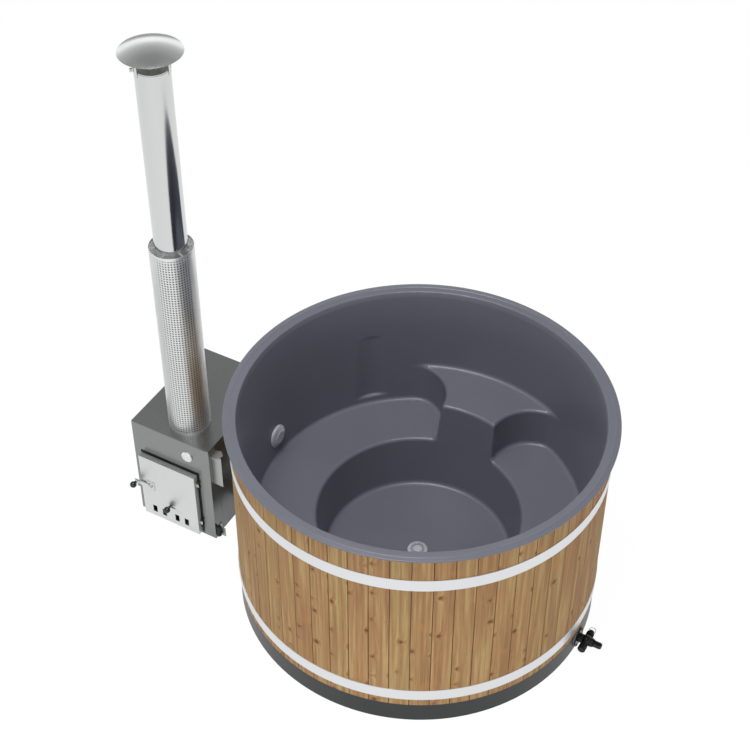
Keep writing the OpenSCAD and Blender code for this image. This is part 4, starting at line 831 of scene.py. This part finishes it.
class TUB_OT_liner(bpy.types.Operator):
    """Moulded liner with its rolled rim, benches, footwell and raised seat"""
    bl_idname = "hottub.liner"
    bl_label = "Liner"

    def execute(self, context):
        sizes = context.scene.hottub_sizes
        made = liner_body(sizes.edge_soft, sizes.corner_soft)
        piece = keep(made, "moulded_liner", liner_plastic(context.scene.hottub_finishes), "tub", ["liner"])
        smooth(piece, 28)
        skin_normals(piece.data, sizes.edge_soft, sizes.corner_soft)
        return {"FINISHED"}


class TUB_OT_staves(bpy.types.Operator):
    """Pine staves with eased outer edges"""
    bl_idname = "hottub.staves"
    bl_label = "Staves"

    def execute(self, context):
        names = ["staves", "inlet_staves"]
        made = bmesh.new()
        for name in names:
            made.from_mesh(NODES[name].data)
        bmesh.ops.remove_doubles(made, verts=made.verts, dist=SAME)
        bmesh.ops.dissolve_limit(made, angle_limit=FLAT, verts=made.verts, edges=made.edges)
        upright = [e for e in made.edges if len(e.link_faces) == 2 and e.calc_face_angle(0.0) > FOLD
                   and abs(e.verts[0].co.z - e.verts[1].co.z) > EDGE_RISE
                   and min(math.hypot(v.co.x, v.co.y) for v in e.verts) > STAVE_R - EDGE_DEPTH]
        bmesh.ops.bevel(made, geom=upright, offset=context.scene.hottub_sizes.stave_edge, offset_type="OFFSET",
                        segments=2, profile=0.5, affect="EDGES", clamp_overlap=True, material=-1)
        piece = keep(made, "pine_staves", pine_staves(context.scene.hottub_finishes), "tub", names)
        smooth(piece, 30)
        return {"FINISHED"}


class TUB_OT_bands(bpy.types.Operator):
    """Stainless bands round the staves, with their lugs and bolts"""
    bl_idname = "hottub.bands"
    bl_label = "Bands"

    def execute(self, context):
        dress(steel("stainless band strip", "#E5E7E9", (0.36, 0.44), brush=BRUSH_ROUND, depth=0.02),
              "upper_band", "lower_band", "band_lugs")
        dress(steel("zinc plated bolts", "#C8C9C6", ZINC_SHEEN), "band_bolts", "hose_clamps")
        return {"FINISHED"}


class TUB_OT_plinth(bpy.types.Operator):
    """Grey plinth ring and the hidden supports"""
    bl_idname = "hottub.plinth"
    bl_label = "Plinth and supports"

    def execute(self, context):
        dress(plastic("extruded recycled plastic plinth", context.scene.hottub_finishes.plinth, (0.30, 0.42),
                      grain=260.0, gloss=0.3), "plinth")
        dress(sawn_wood("plywood base", "#B89868", "#9A7A4E", GRAIN_Y), "base_board")
        dress(sawn_wood("sawn softwood rails", "#C2A274", "#A4814F", GRAIN_UP), "floor_joists", "bench_posts")
        return {"FINISHED"}


class TUB_OT_fittings(bpy.types.Operator):
    """Wall inlet, floor drain and the water line"""
    bl_idname = "hottub.fittings"
    bl_label = "Fittings"

    def execute(self, context):
        dress(plastic("moulded grille plastic", "#B4B7BD", (0.3, 0.42)), "wall_grille", "floor_grille")
        dress(liner_plastic(context.scene.hottub_finishes), "floor_ring")
        eased(0.001, "floor_ring", "floor_grille", "wall_grille")
        dress(plastic("grey pipe plastic", "#6F7173", (0.35, 0.5)), "drain_pipe", "cold_pipe")
        dress(plastic("dark fitting plastic", "#2E3033", (0.35, 0.5)), "wall_fitting", "wall_nut", "floor_outlet")
        dress(plastic("black rubber sleeve", "#1A1A1A", (0.55, 0.75), grain=300.0, depth=0.3),
              "cold_sleeve", "hot_sleeve", "side_bumper")
        return {"FINISHED"}


class TUB_OT_valve(bpy.types.Operator):
    """Black drain valve with its grey gasket and wire bail"""
    bl_idname = "hottub.valve"
    bl_label = "Drain valve"

    def execute(self, context):
        dress(plastic("black nylon", context.scene.hottub_finishes.black, (0.2, 0.3), depth=0.05, lighter=1.5,
                      gloss=0.25), "valve_body", "valve_knob", "valve_cap", "hose_tail")
        dress(plastic("grey rubber gasket", "#8C8E8E", (0.6, 0.8)), "valve_gasket")
        dress(steel("drawn steel wire", "#A39B86", (0.3, 0.42)), "valve_bail", "valve_plug")
        return {"FINISHED"}


class TUB_OT_casing(bpy.types.Operator):
    """Painted heater casing with its brackets and plug"""
    bl_idname = "hottub.casing"
    bl_label = "Heater casing"

    def execute(self, context):
        dress(casing_paint(context.scene.hottub_finishes), "casing_front", "casing_cover")
        dress(steel("galvanised bracket", "#B4B6B5", (0.35, 0.5)), "upper_bracket", "lower_bracket")
        dress(steel("cast aluminium plug", "#ECEDED", (0.5, 0.7), depth=0.5, grain=400.0), "front_plug")
        eased(0.0015, "casing_front", "casing_cover", "upper_bracket", "lower_bracket")
        eased(0.002, "front_plug")
        return {"FINISHED"}


class TUB_OT_door(bpy.types.Operator):
    """Fire door with its latch and draught slide"""
    bl_idname = "hottub.door"
    bl_label = "Fire door"

    def execute(self, context):
        looks = context.scene.hottub_finishes
        dress(steel("stainless door sheet", looks.stainless, (0.34, 0.44), brush=BRUSH_ACROSS, depth=0.04),
              "door_shell", "latch_bar", "latch_plate")
        dress(steel("stainless small parts", "#BFC1C0", (0.3, 0.42)), "door_back", "slide_rails", "latch_keeper")
        eased(0.0022, "door_shell", segments=3)
        eased(0.0006, "latch_plate", "latch_bar", "latch_keeper")
        dress(plastic("black phenolic ball", looks.black, (0.12, 0.2), depth=0.05, lighter=1.4),
              "slide_knob_ball", "latch_ball")
        # the hinge pins take this dark sheet too: painted shade for the shadowed gap beside the door, where the pins
        # are bright steel
        dress(sooty_metal("dark slide sheet and painted-shade hinge pins", "#3B3B3B", "#575654"), "draught_slide", "ash_pan", "hinge_pins")
        return {"FINISHED"}


class TUB_OT_firebox(bpy.types.Operator):
    """Water jacket, door frame, grate and seal inside the casing"""
    bl_idname = "hottub.firebox"
    bl_label = "Firebox"

    def execute(self, context):
        dress(sooty_metal("heat-proof coated plate", "#262626", "#4A4846"), "stove_body", "door_frame")
        dress(sooty_metal("cast iron grate", "#2C2A29", "#5A5754", rough=(0.7, 0.9), grain=120.0), "fire_grate")
        dress(rope_seal(), "door_seal")
        return {"FINISHED"}


class TUB_OT_chimney(bpy.types.Operator):
    """Flue pipes, clamp, legs and rain cap"""
    bl_idname = "hottub.chimney"
    bl_label = "Chimney"

    def execute(self, context):
        looks = context.scene.hottub_finishes
        dress(steel("stainless flue pipe", looks.stainless, FLUE_SHEEN, brush=BRUSH_UP, depth=0.03),
              "cap_clamp", "cap_legs", "shield_spacers")
        dress(flue_steel(looks), "flue_upper")
        dress(tinted_steel(looks), "flue_lower")
        dress(steel("spun stainless cap", "#D6D8D7", (0.15, 0.21), depth=0.01, grain=400.0, spun_sheen=0.6),
              "rain_cap")
        dress(steel("zinc plated screw", "#C8C9C6", ZINC_SHEEN), "cap_screw")
        return {"FINISHED"}


class TUB_OT_shield(bpy.types.Operator):
    """Perforated heat shield round the flue"""
    bl_idname = "hottub.shield"
    bl_label = "Heat shield"

    def execute(self, context):
        sizes = context.scene.hottub_sizes
        made = perforated_tube(sizes.hole_columns, sizes.hole_rows, sizes.hole_radius)
        sheet = steel("perforated stainless sheet", "#E6E8E8", (0.36, 0.44), brush=BRUSH_UP)
        piece = keep(made, "perforated_shield", sheet, "tub", ["heat_shield"])
        smooth(piece, 40)
        return {"FINISHED"}


class TUB_PT_panel(bpy.types.Panel):
    """The hot tub's pieces and settings"""
    bl_label = "Hot tub"
    bl_idname = "TUB_PT_panel"
    bl_space_type = "VIEW_3D"
    bl_region_type = "UI"
    bl_category = "Hot tub"

    def draw(self, context):
        for maker in MAKERS:
            self.layout.operator(maker.bl_idname)
        for group in (context.scene.hottub_sizes, context.scene.hottub_finishes):
            for key in group.__annotations__:
                self.layout.prop(group, key)


MAKERS = (TUB_OT_stage, TUB_OT_liner, TUB_OT_staves, TUB_OT_bands, TUB_OT_plinth, TUB_OT_fittings, TUB_OT_valve,
          TUB_OT_casing, TUB_OT_door, TUB_OT_firebox, TUB_OT_chimney, TUB_OT_shield)
GROUPS = (HotTubFinishes, HotTubSizes)


def register():
    for item in (*GROUPS, *MAKERS, TUB_PT_panel):
        bpy.utils.register_class(item)
    bpy.types.Scene.hottub_finishes = bpy.props.PointerProperty(type=HotTubFinishes)
    bpy.types.Scene.hottub_sizes = bpy.props.PointerProperty(type=HotTubSizes)


def unregister():
    del bpy.types.Scene.hottub_sizes
    del bpy.types.Scene.hottub_finishes
    for item in reversed((*GROUPS, *MAKERS, TUB_PT_panel)):
        bpy.utils.unregister_class(item)


def main():
    register()
    for maker in MAKERS:
        getattr(bpy.ops.hottub, maker.bl_idname.split(".")[1])()


if __name__ == "__main__":
    main()
